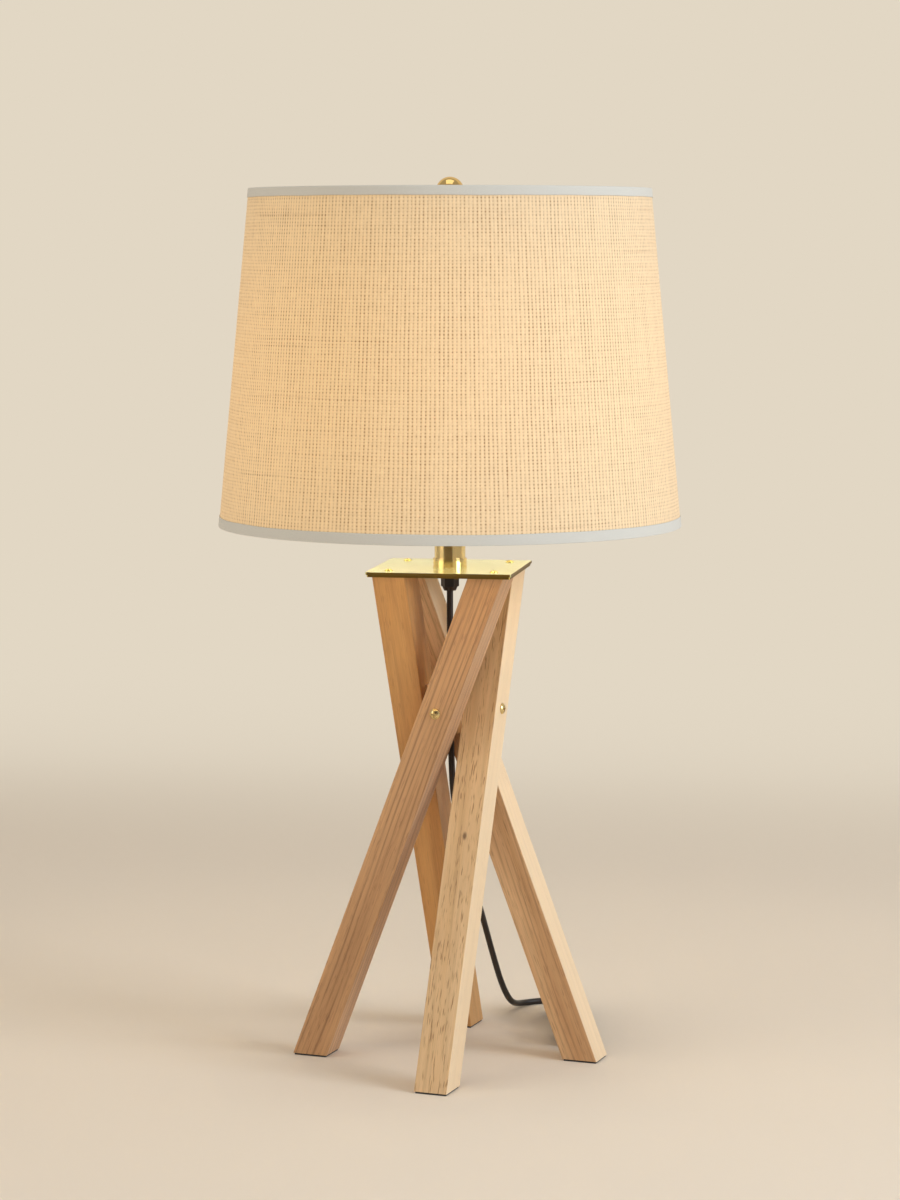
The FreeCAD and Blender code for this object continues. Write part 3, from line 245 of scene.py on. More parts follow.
class WoodGrain(Effect):
    """Straight-sawn hardwood with the grain along Z.

    Growth lines are a sine of the distance across the grain, pushed about by slow noise that
    is stretched along it. Fibres and pores are finer noise, stretched the same way.
    """

    title = "wood_grain"
    takes = {
        "Vector": "", "Pale": paint(230, 190, 140), "Middle": paint(205, 165, 120),
        "Dark": paint(140, 95, 55), "Lines": 0.5, "Pores": 0.5, "Line Pitch": 5.0,
        "Seed": 0.0}
    gives = {"Color": "Color", "Roughness": "Float", "Height": "Float"}

    metres_to_a_seed: ClassVar[float] = 3.7
    line_slant: ClassVar[float] = 0.45
    drift_in_lines: ClassVar[float] = 2.2
    sweep_in_lines: ClassVar[float] = 7.0
    line_sharpness: ClassVar[float] = 3.5
    pore_depth: ClassVar[float] = 1.2

    def draw(self, graph: Graph, given: Sequence[Socket]) -> dict[str, Socket]:
        """Draw growth lines, slow tone, fibres and pores."""
        across, deep, along = graph.parts(given["Vector"])
        seed = graph.times(given["Seed"], self.metres_to_a_seed)
        own = graph.join(graph.plus(across, seed), deep, graph.plus(along, seed))
        tone = graph.streaks(own, (60, 60, 3.5), 3.0)
        drift = graph.streaks(own, (38, 38, 4.0))
        sweep = graph.streaks(own, (9, 9, 1.6), 1.0)
        distance = graph.plus(across, graph.times(deep, self.line_slant))
        count = graph.sum("DIVIDE", distance, graph.times(given["Line Pitch"], MM))
        phase = graph.plus(count, graph.plus(
            graph.times(drift, self.drift_in_lines), graph.times(sweep, self.sweep_in_lines)))
        wave = graph.sum("SINE", graph.times(phase, 2 * math.pi))
        ring = graph.sum("POWER", graph.linear(wave, 0.5, 0.5), self.line_sharpness)
        broken = graph.streaks(own, (420, 420, 9), 3.0, 0.6)
        line = graph.times(ring, graph.step(broken, 0.36, 0.62))
        fibre = graph.streaks(own, (1500, 1500, 32), 2.0, 0.6)
        dashes = graph.streaks(own, (1250, 1250, 95), 1.0)
        gate = graph.streaks(own, (260, 260, 14), 1.0)
        pore = graph.times(graph.step(dashes, 0.56, 0.68), graph.step(gate, 0.32, 0.58))
        body = graph.blend(graph.step(tone, 0.3, 0.7), given["Middle"], given["Pale"])
        lined = graph.blend(graph.times(line, given["Lines"]), body, given["Dark"])
        pored = graph.blend(graph.times(pore, given["Pores"]), lined, given["Dark"])
        height = graph.sum("SUBTRACT", fibre, graph.times(pore, self.pore_depth))
        return {"Color": graph.toned(pored, graph.linear(fibre, 0.40, 0.80)),
                "Roughness": graph.linear(fibre, 0.2, 0.42), "Height": height}


class PlainWeave(Effect):
    """Coarse plain weave on a map in metres.

    Each thread's side view is the sine of its place across its pitch. Where the product of
    the two sines is positive the upright thread lies on top, and elsewhere the level one.
    A gap is a dot where the valley between two upright threads crosses the valley between
    two level ones. Slubs are long thin streaks of noise that darken the dots under them.
    """

    title = "plain_weave"
    takes = {"Vector": "", "Pitch Across": 3.4, "Pitch Down": 2.5, "Slubs": 0.7, "Wander": 1.0}
    gives = {"Gap": "Float", "Slub": "Float", "Height": "Float", "Tone": "Float"}

    column_wander: ClassVar[float] = 0.9 * MM
    row_wander: ClassVar[float] = 0.8 * MM
    valley: ClassVar[float] = 0.95
    between_rows: ClassVar[float] = 0.3
    slub_drift: ClassVar[float] = 6 * MM

    def draw(self, graph: Graph, given: Sequence[Socket]) -> dict[str, Socket]:
        """Draw two thread systems, the gaps between them and the slubs."""
        flat = given["Vector"]
        across, down, _ = graph.parts(flat)

        def thread(place: Socket, cells: Sequence[float], reach: float, pitch: str) -> Socket:
            """Return the side view of one thread system.

            Args:
                place: how far across the threads a point lies.
                cells: the slow noise's cells that push the threads about.
                reach: how far it pushes them each way, in metres.
                pitch: the name of the threads' pitch.

            Returns:
                The sine, a half wave to a thread.
            """
            push = graph.sum("SUBTRACT", graph.streaks(flat, cells), 0.5)
            pushed = graph.plus(place, graph.times(
                graph.times(push, 2 * reach), given["Wander"]))
            count = graph.sum("DIVIDE", pushed, graph.times(given[pitch], MM))
            return graph.sum("SINE", graph.times(count, math.pi))

        column_wave = thread(across, (70, 16, 1), self.column_wander, "Pitch Across")
        row_wave = thread(down, (14, 80, 1), self.row_wander, "Pitch Down")
        upright = graph.sum("ABSOLUTE", column_wave)
        level = graph.sum("ABSOLUTE", row_wave)
        over = graph.linear(graph.times(column_wave, row_wave), 0.5, 0.5)
        under = graph.sum("SUBTRACT", 1.0, over)
        height = graph.plus(graph.times(upright, over), graph.times(level, under))
        column_valley = graph.step(upright, 0.0, self.valley, 1.0, 0.0)
        row_valley = graph.step(level, 0.0, self.valley, 1.0, 0.0)
        dots = graph.times(column_valley, graph.linear(
            row_valley, 1.0 - self.between_rows, self.between_rows))
        weft = graph.step(graph.streaks(flat, (12, 330, 1), 1.0), 0.35, 0.68, -0.16, 0.16)
        warp = graph.step(graph.streaks(flat, (260, 10, 1), 1.0), 0.35, 0.68, -0.2, 0.22)
        uneven = graph.step(graph.streaks(flat, (300, 380, 1)), 0.3, 0.7, 0.55, 0.95)
        gap = graph.times(dots, graph.plus(uneven, graph.plus(weft, warp)))
        slow = graph.streaks(flat, (9, 2, 1), 1.0)
        leaning = graph.join(across, graph.plus(down, graph.times(slow, self.slub_drift)))
        level_slub = graph.step(graph.streaks(leaning, (3.4, 300, 1), 1.0), 0.69, 0.74)
        upright_slub = graph.step(graph.streaks(flat, (230, 5, 1), 1.0), 0.72, 0.76)
        slub = graph.times(graph.sum("MAXIMUM", level_slub, upright_slub), given["Slubs"])
        return {"Gap": graph.sum("MINIMUM", gap, 1.0), "Slub": slub, "Height": height,
                "Tone": graph.streaks(flat, (260, 120, 1), 3.0, 0.65)}


class Handling(Effect):
    """What use leaves on a hard surface: faint smudges, fine grit and light scratches.

    Smudges are slow noise, grit is fine noise, and a scratch is where one noise stretched a
    long way in one direction passes through its middle value.
    """

    title = "handling"
    takes = {"Vector": "", "Smudge Size": 12.0, "Grit Size": 0.6}
    gives = {"Smudge": "Float", "Grit": "Float", "Scratch": "Float"}

    def draw(self, graph: Graph, given: Sequence[Socket]) -> dict[str, Socket]:
        """Draw the three masks."""
        def sized(size: str, detail: float) -> Socket:
            """Return noise whose cells have a size given in millimetres."""
            return graph.noise(given["Vector"], graph.sum("DIVIDE", 1000.0, given[size]), detail)

        scored = graph.noise(graph.stretch(given["Vector"], (60, 900, 500), (0.3, 0.2, 0.5)))
        off = graph.sum("ABSOLUTE", graph.sum("SUBTRACT", scored, 0.5))
        return {"Smudge": graph.step(sized("Smudge Size", 3.0), 0.35, 0.7),
                "Grit": sized("Grit Size", 2.0),
                "Scratch": graph.step(off, 0.0, 0.012, 1.0, 0.0)}


# ---- finishes

@dataclass(frozen=True)
class Finish:
    """A finish that a maker would name, made as one material."""

    name: str

    def material(self) -> bpy.types.Material:
        """Return the material, drawn the first time it is asked for."""
        known = bpy.data.materials.get(self.name)
        if known:
            return known
        made = bpy.data.materials.new(self.name)
        made.use_nodes = True
        made.node_tree.nodes.clear()
        graph = Graph(made.node_tree)
        graph.add("ShaderNodeOutputMaterial", {"Surface": self.shader(graph)})
        return made

    def shader(self, graph: Graph) -> Socket:
        """Draw the material and return its shader."""
        raise NotImplementedError

    @staticmethod
    def lie(graph: Graph, space: Space) -> Socket:
        """Return the coordinates that a pattern lies on."""
        return graph.add("ShaderNodeTexCoord").outputs[space.value]

    @classmethod
    def marks(cls, graph: Graph, smudge_size: float, grit_size: float) -> Sequence[Socket]:
        """Return the marks of handling, their sizes given in millimetres."""
        return Handling().place(graph, {
            "Vector": cls.lie(graph, Space.OBJECT), "Smudge Size": smudge_size,
            "Grit Size": grit_size})

    @staticmethod
    def principled(graph: Graph, fill: dict) -> Socket:
        """Return a Principled shader with these sockets filled."""
        return graph.add("ShaderNodeBsdfPrincipled", fill).outputs[0]

    @staticmethod
    def lit_through(graph: Graph, share: float, front: Socket, fill: dict) -> Socket:
        """Return a shader mixed with a share of a Translucent one with these sockets filled."""
        return graph.mix(share, front, graph.add("ShaderNodeBsdfTranslucent", fill).outputs[0])


@dataclass(frozen=True)
class WoodFinish(Finish):
    """Oiled hardwood. The turn brings the piece's own grain on to Z.

    The face with a painted highlight is a direction on the board's two axes and how far out that
    face lies; it is the face that looks most along +X, towards the key light.
    """

    pale: Colour
    middle: Colour
    dark: Colour = paint(140, 96, 58)
    lines: float = 0.5
    pores: float = 0.5
    line_pitch: float = 5.0
    seed: float = 0.0
    turn: Point = (0.0, 0.0, 0.0)
    knot: Point | None = None
    # Painted highlight: a paler colour on the face that looks towards the key light.
    painted_lit_face: Point | None = None
    painted_lit_colour: Colour = paint(240, 216, 180)
    painted_lit_share: float = 0.72
    painted_lit_from: float = 0.7 * MM
    painted_lit_full: float = 0.1 * MM
    knot_colour: Colour = paint(92, 58, 34)
    knot_share: float = 0.8
    knot_squash: float = 0.45
    knot_core: float = 0.6 * MM
    knot_edge: float = 2.4 * MM

    def shader(self, graph: Graph) -> Socket:
        """Draw the grain, a painted highlight on the face that looks towards the key light, and a
        knot where the leg has them.
        """
        place = self.lie(graph, Space.OBJECT)
        board = graph.stretch(place, (1, 1, 1), self.turn)
        grain = WoodGrain().place(graph, {
            "Vector": board, "Pale": self.pale,
            "Middle": self.middle, "Dark": self.dark, "Lines": self.lines,
            "Pores": self.pores, "Line Pitch": self.line_pitch, "Seed": self.seed})
        colour = grain["Color"]
        # Painted light: the face towards the key light is blended towards a paler colour, as if
        # lit from the right.
        if self.painted_lit_face:
            across, deep, _ = graph.parts(board)
            out = graph.plus(graph.times(across, self.painted_lit_face[0]),
                             graph.times(deep, self.painted_lit_face[1]))
            face = self.painted_lit_face[2]
            share = graph.step(
                out, face - self.painted_lit_from, face - self.painted_lit_full, 0.0, self.painted_lit_share)
            colour = graph.blend(share, colour, self.painted_lit_colour)
        if self.knot:
            squash = (1, 1, self.knot_squash)
            centred = graph.stretch(place, squash, shift=[
                -part * least for part, least in zip(self.knot, squash)])
            reach = graph.add("ShaderNodeVectorMath", {0: centred}, operation="LENGTH")
            share = graph.step(
                reach.outputs["Value"], self.knot_core, self.knot_edge, self.knot_share, 0.0)
            colour = graph.blend(share, colour, self.knot_colour)
        return self.principled(graph, {
            "Base Color": colour, "Roughness": grain["Roughness"],
            "Specular IOR Level": 0.45, "Sheen Weight": 0.3, "Sheen Roughness": 0.4,
            "Normal": graph.bump(grain["Height"], 0.12 * MM, 0.5)})


@dataclass(frozen=True)
class MetalFinish(Finish):
    """Bare or plated metal with the marks of handling.

    A plate's sides, the faces farther out from the axis than the reach given in metres, are
    darker and duller.
    """

    colour: Colour = paint(240, 206, 122)
    rough: float = 0.1
    dulling: float = 0.1
    grit_size: float = 0.35
    relief: float = 0.0015
    metallic: float = 1.0
    side_reach: float = 0.0
    edge_colour: Colour = paint(120, 98, 48)
    edge_rough: float = 0.25
    smudge_size: float = 14.0
    smudge_share: float = 0.5
    smudge_dark: float = 0.86
    scratch_rough: float = 0.08

    def shader(self, graph: Graph) -> Socket:
        """Draw metal whose smudges are duller and a little darker, and its darker, duller sides.
        """
        marks = self.marks(graph, self.smudge_size, self.grit_size)
        dull = graph.plus(graph.times(marks["Smudge"], self.dulling), self.rough)
        rough = graph.plus(dull, graph.times(marks["Scratch"], self.scratch_rough))
        darker = (*(self.smudge_dark * part for part in self.colour[:3]), 1.0)
        colour = graph.blend(graph.times(marks["Smudge"], self.smudge_share),
                             self.colour, darker)
        if self.side_reach:
            across, deep, _ = graph.parts(self.lie(graph, Space.OBJECT))
            out = graph.sum("MAXIMUM", graph.sum("ABSOLUTE", across),
                            graph.sum("ABSOLUTE", deep))
            side_mask = graph.step(out, self.side_reach - 0.3 * MM, self.side_reach - 0.05 * MM)
            colour = graph.blend(side_mask, colour, self.edge_colour)
            rough = graph.plus(rough, graph.times(side_mask, self.edge_rough))
        return self.principled(graph, {
            "Base Color": colour, "Metallic": self.metallic, "Roughness": rough,
            "Normal": graph.bump(marks["Grit"], self.relief * MM, 0.6)})


@dataclass(frozen=True)
class MouldedFinish(Finish):
    """Moulded plastic, rubber, a lead's sheath or pressed card with a fine grain.

    Smudges and scratches show the worn colour. On the sheath it is a dull bloom.
    """

    colour: Colour = paint(24, 23, 22)
    worn: Colour = paint(46, 44, 42)
    rough: float = 0.4
    grit_size: float = 0.5
    relief: float = 0.03
    bump: float = 0.5
    smudge_size: float = 9.0
    smudge_wear: float = 0.35
    smudge_rough: float = 0.15
    scratch_wear: float = 0.3

    def shader(self, graph: Graph) -> Socket:
        """Draw the body colour, its smudges and its grain."""
        marks = self.marks(graph, self.smudge_size, self.grit_size)
        worn = graph.plus(graph.times(marks["Smudge"], self.smudge_wear),
                          graph.times(marks["Scratch"], self.scratch_wear))
        return self.principled(graph, {
            "Base Color": graph.blend(worn, self.colour, self.worn),
            "Roughness": graph.linear(marks["Smudge"], self.smudge_rough, self.rough),
            "Normal": graph.bump(marks["Grit"], self.relief * MM, self.bump)})


@dataclass(frozen=True)
class FabricFinish(Finish):
    """The shade's coarse natural weave: it scatters light, lets some of it through, and
    glows with the bulb's light, most at the bulb's height."""

    thread: Colour = paint(219, 206, 179)
    shadow: Colour = paint(122, 88, 50)
    glow_tint: Colour = paint(255, 200, 90)
    glow: float = 0.5
    glow_level: float = 0.54
    glow_reach: float = 0.125
    glow_loss: float = 0.26
    through: float = 0.08
    pitch_across: float = 3.4
    pitch_down: float = 2.5
    gap_dark: float = 0.95
    slub_dark: float = 0.12
    slub_in_gaps: float = 0.7
    tone_range: float = 0.24
    tone_least: float = 0.88
    relief: float = 0.35 * MM

    def shader(self, graph: Graph) -> Socket:
        """Mix a Principled and a Translucent shader on the weave's colours.

        The glow falls off with the square of the height's distance from the bulb's.
        """
        weave = PlainWeave().place(graph, {
            "Vector": self.lie(graph, Space.UV), "Pitch Across": self.pitch_across,
            "Pitch Down": self.pitch_down})
        slubs = graph.times(weave["Slub"], graph.linear(
            weave["Gap"], self.slub_in_gaps, self.slub_dark))
        dark = graph.plus(graph.times(weave["Gap"], self.gap_dark), slubs)
        body = graph.blend(graph.sum("MINIMUM", dark, 1.0), self.thread, self.shadow)
        colour = graph.toned(body, graph.linear(
            weave["Tone"], self.tone_range, self.tone_least))
        relief = graph.bump(weave["Height"], self.relief, 0.7)
        _, _, height = graph.parts(self.lie(graph, Space.OBJECT))
        away = graph.sum("DIVIDE", graph.sum("SUBTRACT", height, self.glow_level),
                         self.glow_reach)
        lost = graph.times(graph.times(away, away), self.glow_loss)
        # Painted glow: emission on the cloth stands in for the bulb's light shining through it,
        # strongest at the bulb's height.
        warm = graph.blend(1.0, colour, self.glow_tint, "MULTIPLY")
        front = self.principled(graph, {
            "Base Color": colour, "Roughness": 0.9, "Sheen Weight": 0.15, "Normal": relief,
            "Emission Color": graph.blend(graph.sum("SUBTRACT", 1.0, lost), BLACK, warm),
            "Emission Strength": self.glow})
        return self.lit_through(
            graph, self.through, front, {"Color": warm, "Normal": relief})


@dataclass(frozen=True)
class TapeFinish(Finish):
    """Ribbed cotton tape folded over the shade's rims."""

    cotton: Colour = paint(246, 242, 231)
    # Painted shade: the colour of the hollows between the ribs.
    hollow_shade: Colour = paint(190, 190, 184)
    rib: float = 0.55
    through: float = 0.12

    def shader(self, graph: Graph) -> Socket:
        """Draw level ribs as a sine of the height, with fine yarn noise on them; the low parts
        take a darker colour, painted shade in the hollows.
        """
        flat = self.lie(graph, Space.UV)
        _, down, _ = graph.parts(flat)
        wave = graph.sum("SINE", graph.times(down, 2 * math.pi / (self.rib * MM)))
        yarn = graph.streaks(flat, (900, 1500, 1))
        height = graph.plus(graph.linear(wave, 0.25, 0.25), graph.times(yarn, 0.5))
        # Painted shade: the ribs' hollows and the yarn's low spots are darker.
        colour = graph.blend(height, self.hollow_shade, self.cotton)
        relief = graph.bump(height, 0.12 * MM, 0.6)
        front = self.principled(graph, {
            "Base Color": colour, "Roughness": 0.88, "Sheen Weight": 0.1, "Normal": relief})
        return self.lit_through(
            graph, self.through, front, {"Color": colour, "Normal": relief})


@dataclass(frozen=True)
class LinerFinish(Finish):
    """The stiff white sheet that the fabric is glued to: smooth, pale and lit through."""

    white: Colour = paint(244, 238, 226)
    cloud: Colour = paint(236, 226, 206)
    through: float = 0.3

    def shader(self, graph: Graph) -> Socket:
        """Mix a Principled and a Translucent shader, with faint clouding and glue marks."""
        marks = self.marks(graph, 40.0, 1.2)
        colour = graph.blend(graph.times(marks["Smudge"], 0.4), self.white, self.cloud)
        front = self.principled(graph, {
            "Base Color": colour, "Roughness": 0.55,
            "Normal": graph.bump(marks["Grit"], 0.02 * MM, 0.4)})
        return self.lit_through(graph, self.through, front, {"Color": colour})


@dataclass(frozen=True)
class LitOpalFinish(Finish):
    """The bulb's opal glass, alight: brightest round its ball, dimmer at its throat."""

    glass: Colour = paint(252, 246, 232)
    glow: Colour = paint(255, 234, 198)
    strength: float = 36.0
    dim_level: float = 0.492
    full_level: float = 0.525
    dim_share: float = 0.35

    def shader(self, graph: Graph) -> Socket:
        """Draw coated glass whose light fades towards the throat."""
        place = self.lie(graph, Space.OBJECT)
        _, _, height = graph.parts(place)
        mottle = graph.noise(place, 90.0, detail=2.0)
        share = graph.times(graph.step(height, self.dim_level, self.full_level, self.dim_share),
                            graph.linear(mottle, 0.1, 0.95))
        return self.principled(graph, {
            "Base Color": self.glass, "Roughness": 0.25, "Coat Weight": 0.3,
            "Emission Color": graph.blend(share, BLACK, self.glow),
            "Emission Strength": self.strength})


BRASS = MetalFinish("polished_brass", rough=0.06, dulling=0.08)
# The top plate is a pale lemon brass: its paleness is painted glare of the bulb's light over the
# brass's own colour.
GLARE_PLATE_BRASS = MetalFinish(
    "plate_brass", paint(246, 255, 206), 0.2, 0.05, relief=0.0, metallic=0.8, side_reach=0.056)
UNDER_BRASS = MetalFinish(
    "under_plate_brass", paint(236, 208, 120), 0.25, relief=0.0, side_reach=0.055)
SCREW_BRASS = MetalFinish("screw_brass", colour=paint(222, 198, 140), rough=0.2)
# Painted glare: the plate's screws share the top plate's pale lemon colour.
GLARE_PLATE_SCREW_BRASS = MetalFinish("plate_screw_brass", colour=paint(244, 232, 150), rough=0.16)
BALL_BRASS = MetalFinish("finial_brass", colour=paint(236, 200, 128), rough=0.07, dulling=0.06)
ZINC = MetalFinish("zinc_plated_steel", colour=paint(206, 206, 208), rough=0.3)
NICKEL = MetalFinish("bulb_nickel", colour=paint(214, 212, 206), rough=0.22)
GLAND_PLASTIC = MouldedFinish("gland_plastic", paint(38, 28, 23), paint(60, 48, 40), 0.28)
KNOB_PLASTIC = MouldedFinish("knob_plastic", rough=0.32)
PLUG_PLASTIC = MouldedFinish("plug_plastic", paint(26, 25, 24), rough=0.42, relief=0.05)
TIE_PLASTIC = MouldedFinish("tie_plastic", paint(20, 20, 20), rough=0.35)
RUBBER = MouldedFinish("foot_rubber", paint(34, 30, 27), paint(64, 58, 52), 0.8, 0.4, 0.06)
SHEATH = MouldedFinish(
    "lead_sheath", paint(36, 26, 22), paint(48, 41, 36), 0.38, bump=0.6, smudge_size=16.0,
    smudge_wear=1.0, smudge_rough=0.2, scratch_wear=0.0)
INSULATOR = MouldedFinish("holder_insulator", paint(28, 25, 22), rough=0.5)
CARD = MouldedFinish("insulating_card", paint(214, 190, 148), paint(190, 164, 120), 0.85, 0.4,
                     0.05)


# ---- surfaces

def put(name: str, data: bpy.types.ID) -> Piece:
    """Make an object and link it to the scene.

    Args:
        name: the object's name.
        data: its mesh, curve, light or camera.

    Returns:
        The object.
    """
    made = bpy.data.objects.new(name, data)
    bpy.context.scene.collection.objects.link(made)
    return made


def surface(name: str, points: np.ndarray, flat: np.ndarray) -> Piece:
    """Make a piece from a grid that closes on itself both ways, as a ring does.

    Args:
        name: the piece's name.
        points: rows by columns by 3, in metres; the last row joins the first, and the last
            column joins the first.
        flat: rows + 1 by columns + 1 by 2, the map in metres at each corner of the grid.

    Returns:
        The piece, with its faces pointing outwards when the rows run round the section
        clockwise as seen with the columns coming towards the eye.
    """
    rows, columns = points.shape[:2]
    row, column = np.meshgrid(np.arange(rows), np.arange(columns), indexing="ij")
    next_row, next_column = (row + 1) % rows, (column + 1) % columns
    corners = np.stack([
        row * columns + column, row * columns + next_column,
        next_row * columns + next_column, next_row * columns + column], axis=-1)
    mapped = np.stack([
        flat[:-1, :-1], flat[:-1, 1:], flat[1:, 1:], flat[1:, :-1]], axis=2)
    mesh = bpy.data.meshes.new(name)
    mesh.from_pydata(points.reshape(-1, 3).tolist(), [], corners.reshape(-1, 4).tolist())
    layer = mesh.uv_layers.new(name="flat_map")
    layer.data.foreach_set("uv", mapped.reshape(-1).astype(np.float32))
    mesh.shade_smooth()
    mesh.validate()
    return put(name, mesh)


def dress(piece: Piece, finish: Finish) -> None:
    """Put a finish on every material slot of a piece.

    Args:
        piece: the piece; it gets a slot when it has none.
        finish: what it is made of.
    """
    if not piece.material_slots:
        piece.data.materials.append(finish.material())
    for place in piece.material_slots:
        place.material = finish.material()


@dataclass
class Assembly:
    """A sub-assembly of the lamp: it dresses its CAD nodes and builds its own pieces."""

    nodes: dict[str, Piece]
    dressing: ClassVar[dict[str, Finish]] = {}

    def build(self) -> None:
        """Dress the CAD nodes and report each of them."""
        for name, finish in self.dressing.items():
            dress(self.nodes[name], finish)
            log.info("%s: %s in %s", type(self).__name__, name, finish.name)


# ---- legs

LEG_SIDES = ("left", "back", "right", "front")


@dataclass
class Legs(Assembly):
    """Four square legs that lean inwards past each other, with their pads and screws."""

    lean: float = 21.0
    turn: float = 11.3
    knot: Point = (0.01985, -0.05073, 0.18452)
    dressing = {
        **{"foot_pad_" + side: RUBBER for side in LEG_SIDES}, "cross_screws": SCREW_BRASS,
        "centre_block": WoodFinish("block_wood", paint(206, 164, 116), paint(186, 142, 96))}

    def grain_turn(self, number: int) -> Point:
        """Return the Mapping turn that stands a leg's grain upright.

        Args:
            number: the leg's place, counted from the left one by way of the back.

        Returns:
            The turn, as the Mapping node takes it.
        """
        plan = Matrix.Rotation(math.radians(self.turn + 90 * number), 3, "Z")
        stand = Matrix.Rotation(-math.radians(self.lean), 3, "Y")
        return tuple((stand @ plan).to_euler("XYZ"))

    def right_face(self, number: int) -> Point:
        """Find the face of a leg that looks most along +X.

        Args:
            number: the leg's place, as for grain_turn.

        Returns:
            The face's direction on the board's own two axes, and how far out it lies.
        """
        board = np.array(Euler(self.grain_turn(number), "XYZ").to_matrix())
        vertices = self.nodes["leg_" + LEG_SIDES[number]].data.vertices
        corners = np.empty(3 * len(vertices))
        vertices.foreach_get("co", corners)
        placed = corners.reshape(-1, 3) @ board.T
        ways = np.array([[1.0, 0.0], [-1.0, 0.0], [0.0, 1.0], [0.0, -1.0]])
        best = ways[np.argmax(ways @ board[:2, 0])]
        return (float(best[0]), float(best[1]), float((placed[:, :2] @ best).max()))

    def woods(self) -> dict[str, WoodFinish]:
        """Return each leg's own board: no two are cut from the same one."""
        return {
            # The right and front legs carry a painted highlight on the face that looks along +X,
            # towards the key light.
            "left": WoodFinish(
                "left_leg_wood", paint(204, 158, 112), paint(180, 135, 92),
                paint(128, 90, 60), 0.62, 0.4, 3.9, 0.13, self.grain_turn(0)),
            "back": WoodFinish(
                "back_leg_wood", paint(214, 163, 101), paint(198, 144, 84),
                paint(150, 104, 62), 0.25, 0.3, 7.0, 0.57, self.grain_turn(1)),
            "right": WoodFinish(
                "right_leg_wood", paint(228, 190, 144), paint(200, 154, 108),
                paint(140, 98, 62), 0.42, 0.4, 4.4, 0.81, self.grain_turn(2),
                painted_lit_face=self.right_face(2)),
            "front": WoodFinish(
                "front_leg_wood", paint(224, 190, 145), paint(205, 166, 118),
                paint(146, 104, 62), 0.22, 0.85, 8.0, 0.34, self.grain_turn(3), self.knot,
                self.right_face(3))}

    def build(self) -> None:
        """Dress the pads and screws, then each leg in its own board."""
        super().build()
        woods = self.woods()
        for side in LEG_SIDES:
            dress(self.nodes["leg_" + side], woods[side])
            log.info("Legs: leg_%s in %s", side, woods[side].name)


# ---- plate, neck, holder

@dataclass
class PlateAndNeck(Assembly):
    """The two plates, their screws, the collar, the neck and what holds them together."""

    dressing = {
        "under_plate": UNDER_BRASS, "top_plate": GLARE_PLATE_BRASS, "plate_screws": GLARE_PLATE_SCREW_BRASS,
        "neck_collar": BRASS, "neck_tube": BRASS, "neck_cap": BRASS, "threaded_pipe": ZINC,
        "pipe_lock_nut": ZINC, "cord_gland": GLAND_PLASTIC}


@dataclass
class HarpAndHolder(Assembly):
    """The harp on its saddle with its two sleeves, and the lamp holder inside it."""

    dressing = {
        "saddle": BRASS, "harp": BRASS, "harp_sleeve_left": BRASS, "harp_sleeve_right": BRASS,
        "holder_cap": BRASS, "holder_shell": BRASS, "holder_liner": CARD,
        "holder_body": INSULATOR, "screw_shell": NICKEL, "centre_contact": BRASS,
        "terminal_screws": ZINC, "switch_knob": KNOB_PLASTIC}


@dataclass
class Bulb(Assembly):
    """The bulb: lit opal glass on a screw base with its contact."""

    dressing = {
        "bulb_glass": LitOpalFinish("lit_opal_glass"), "bulb_base": NICKEL,
        "bulb_contact": ZINC}


@dataclass
class Finial(Assembly):
    """The ball that screws on to the harp's stud and holds the shade down."""

    dressing = {"finial": BALL_BRASS}


# ---- shade

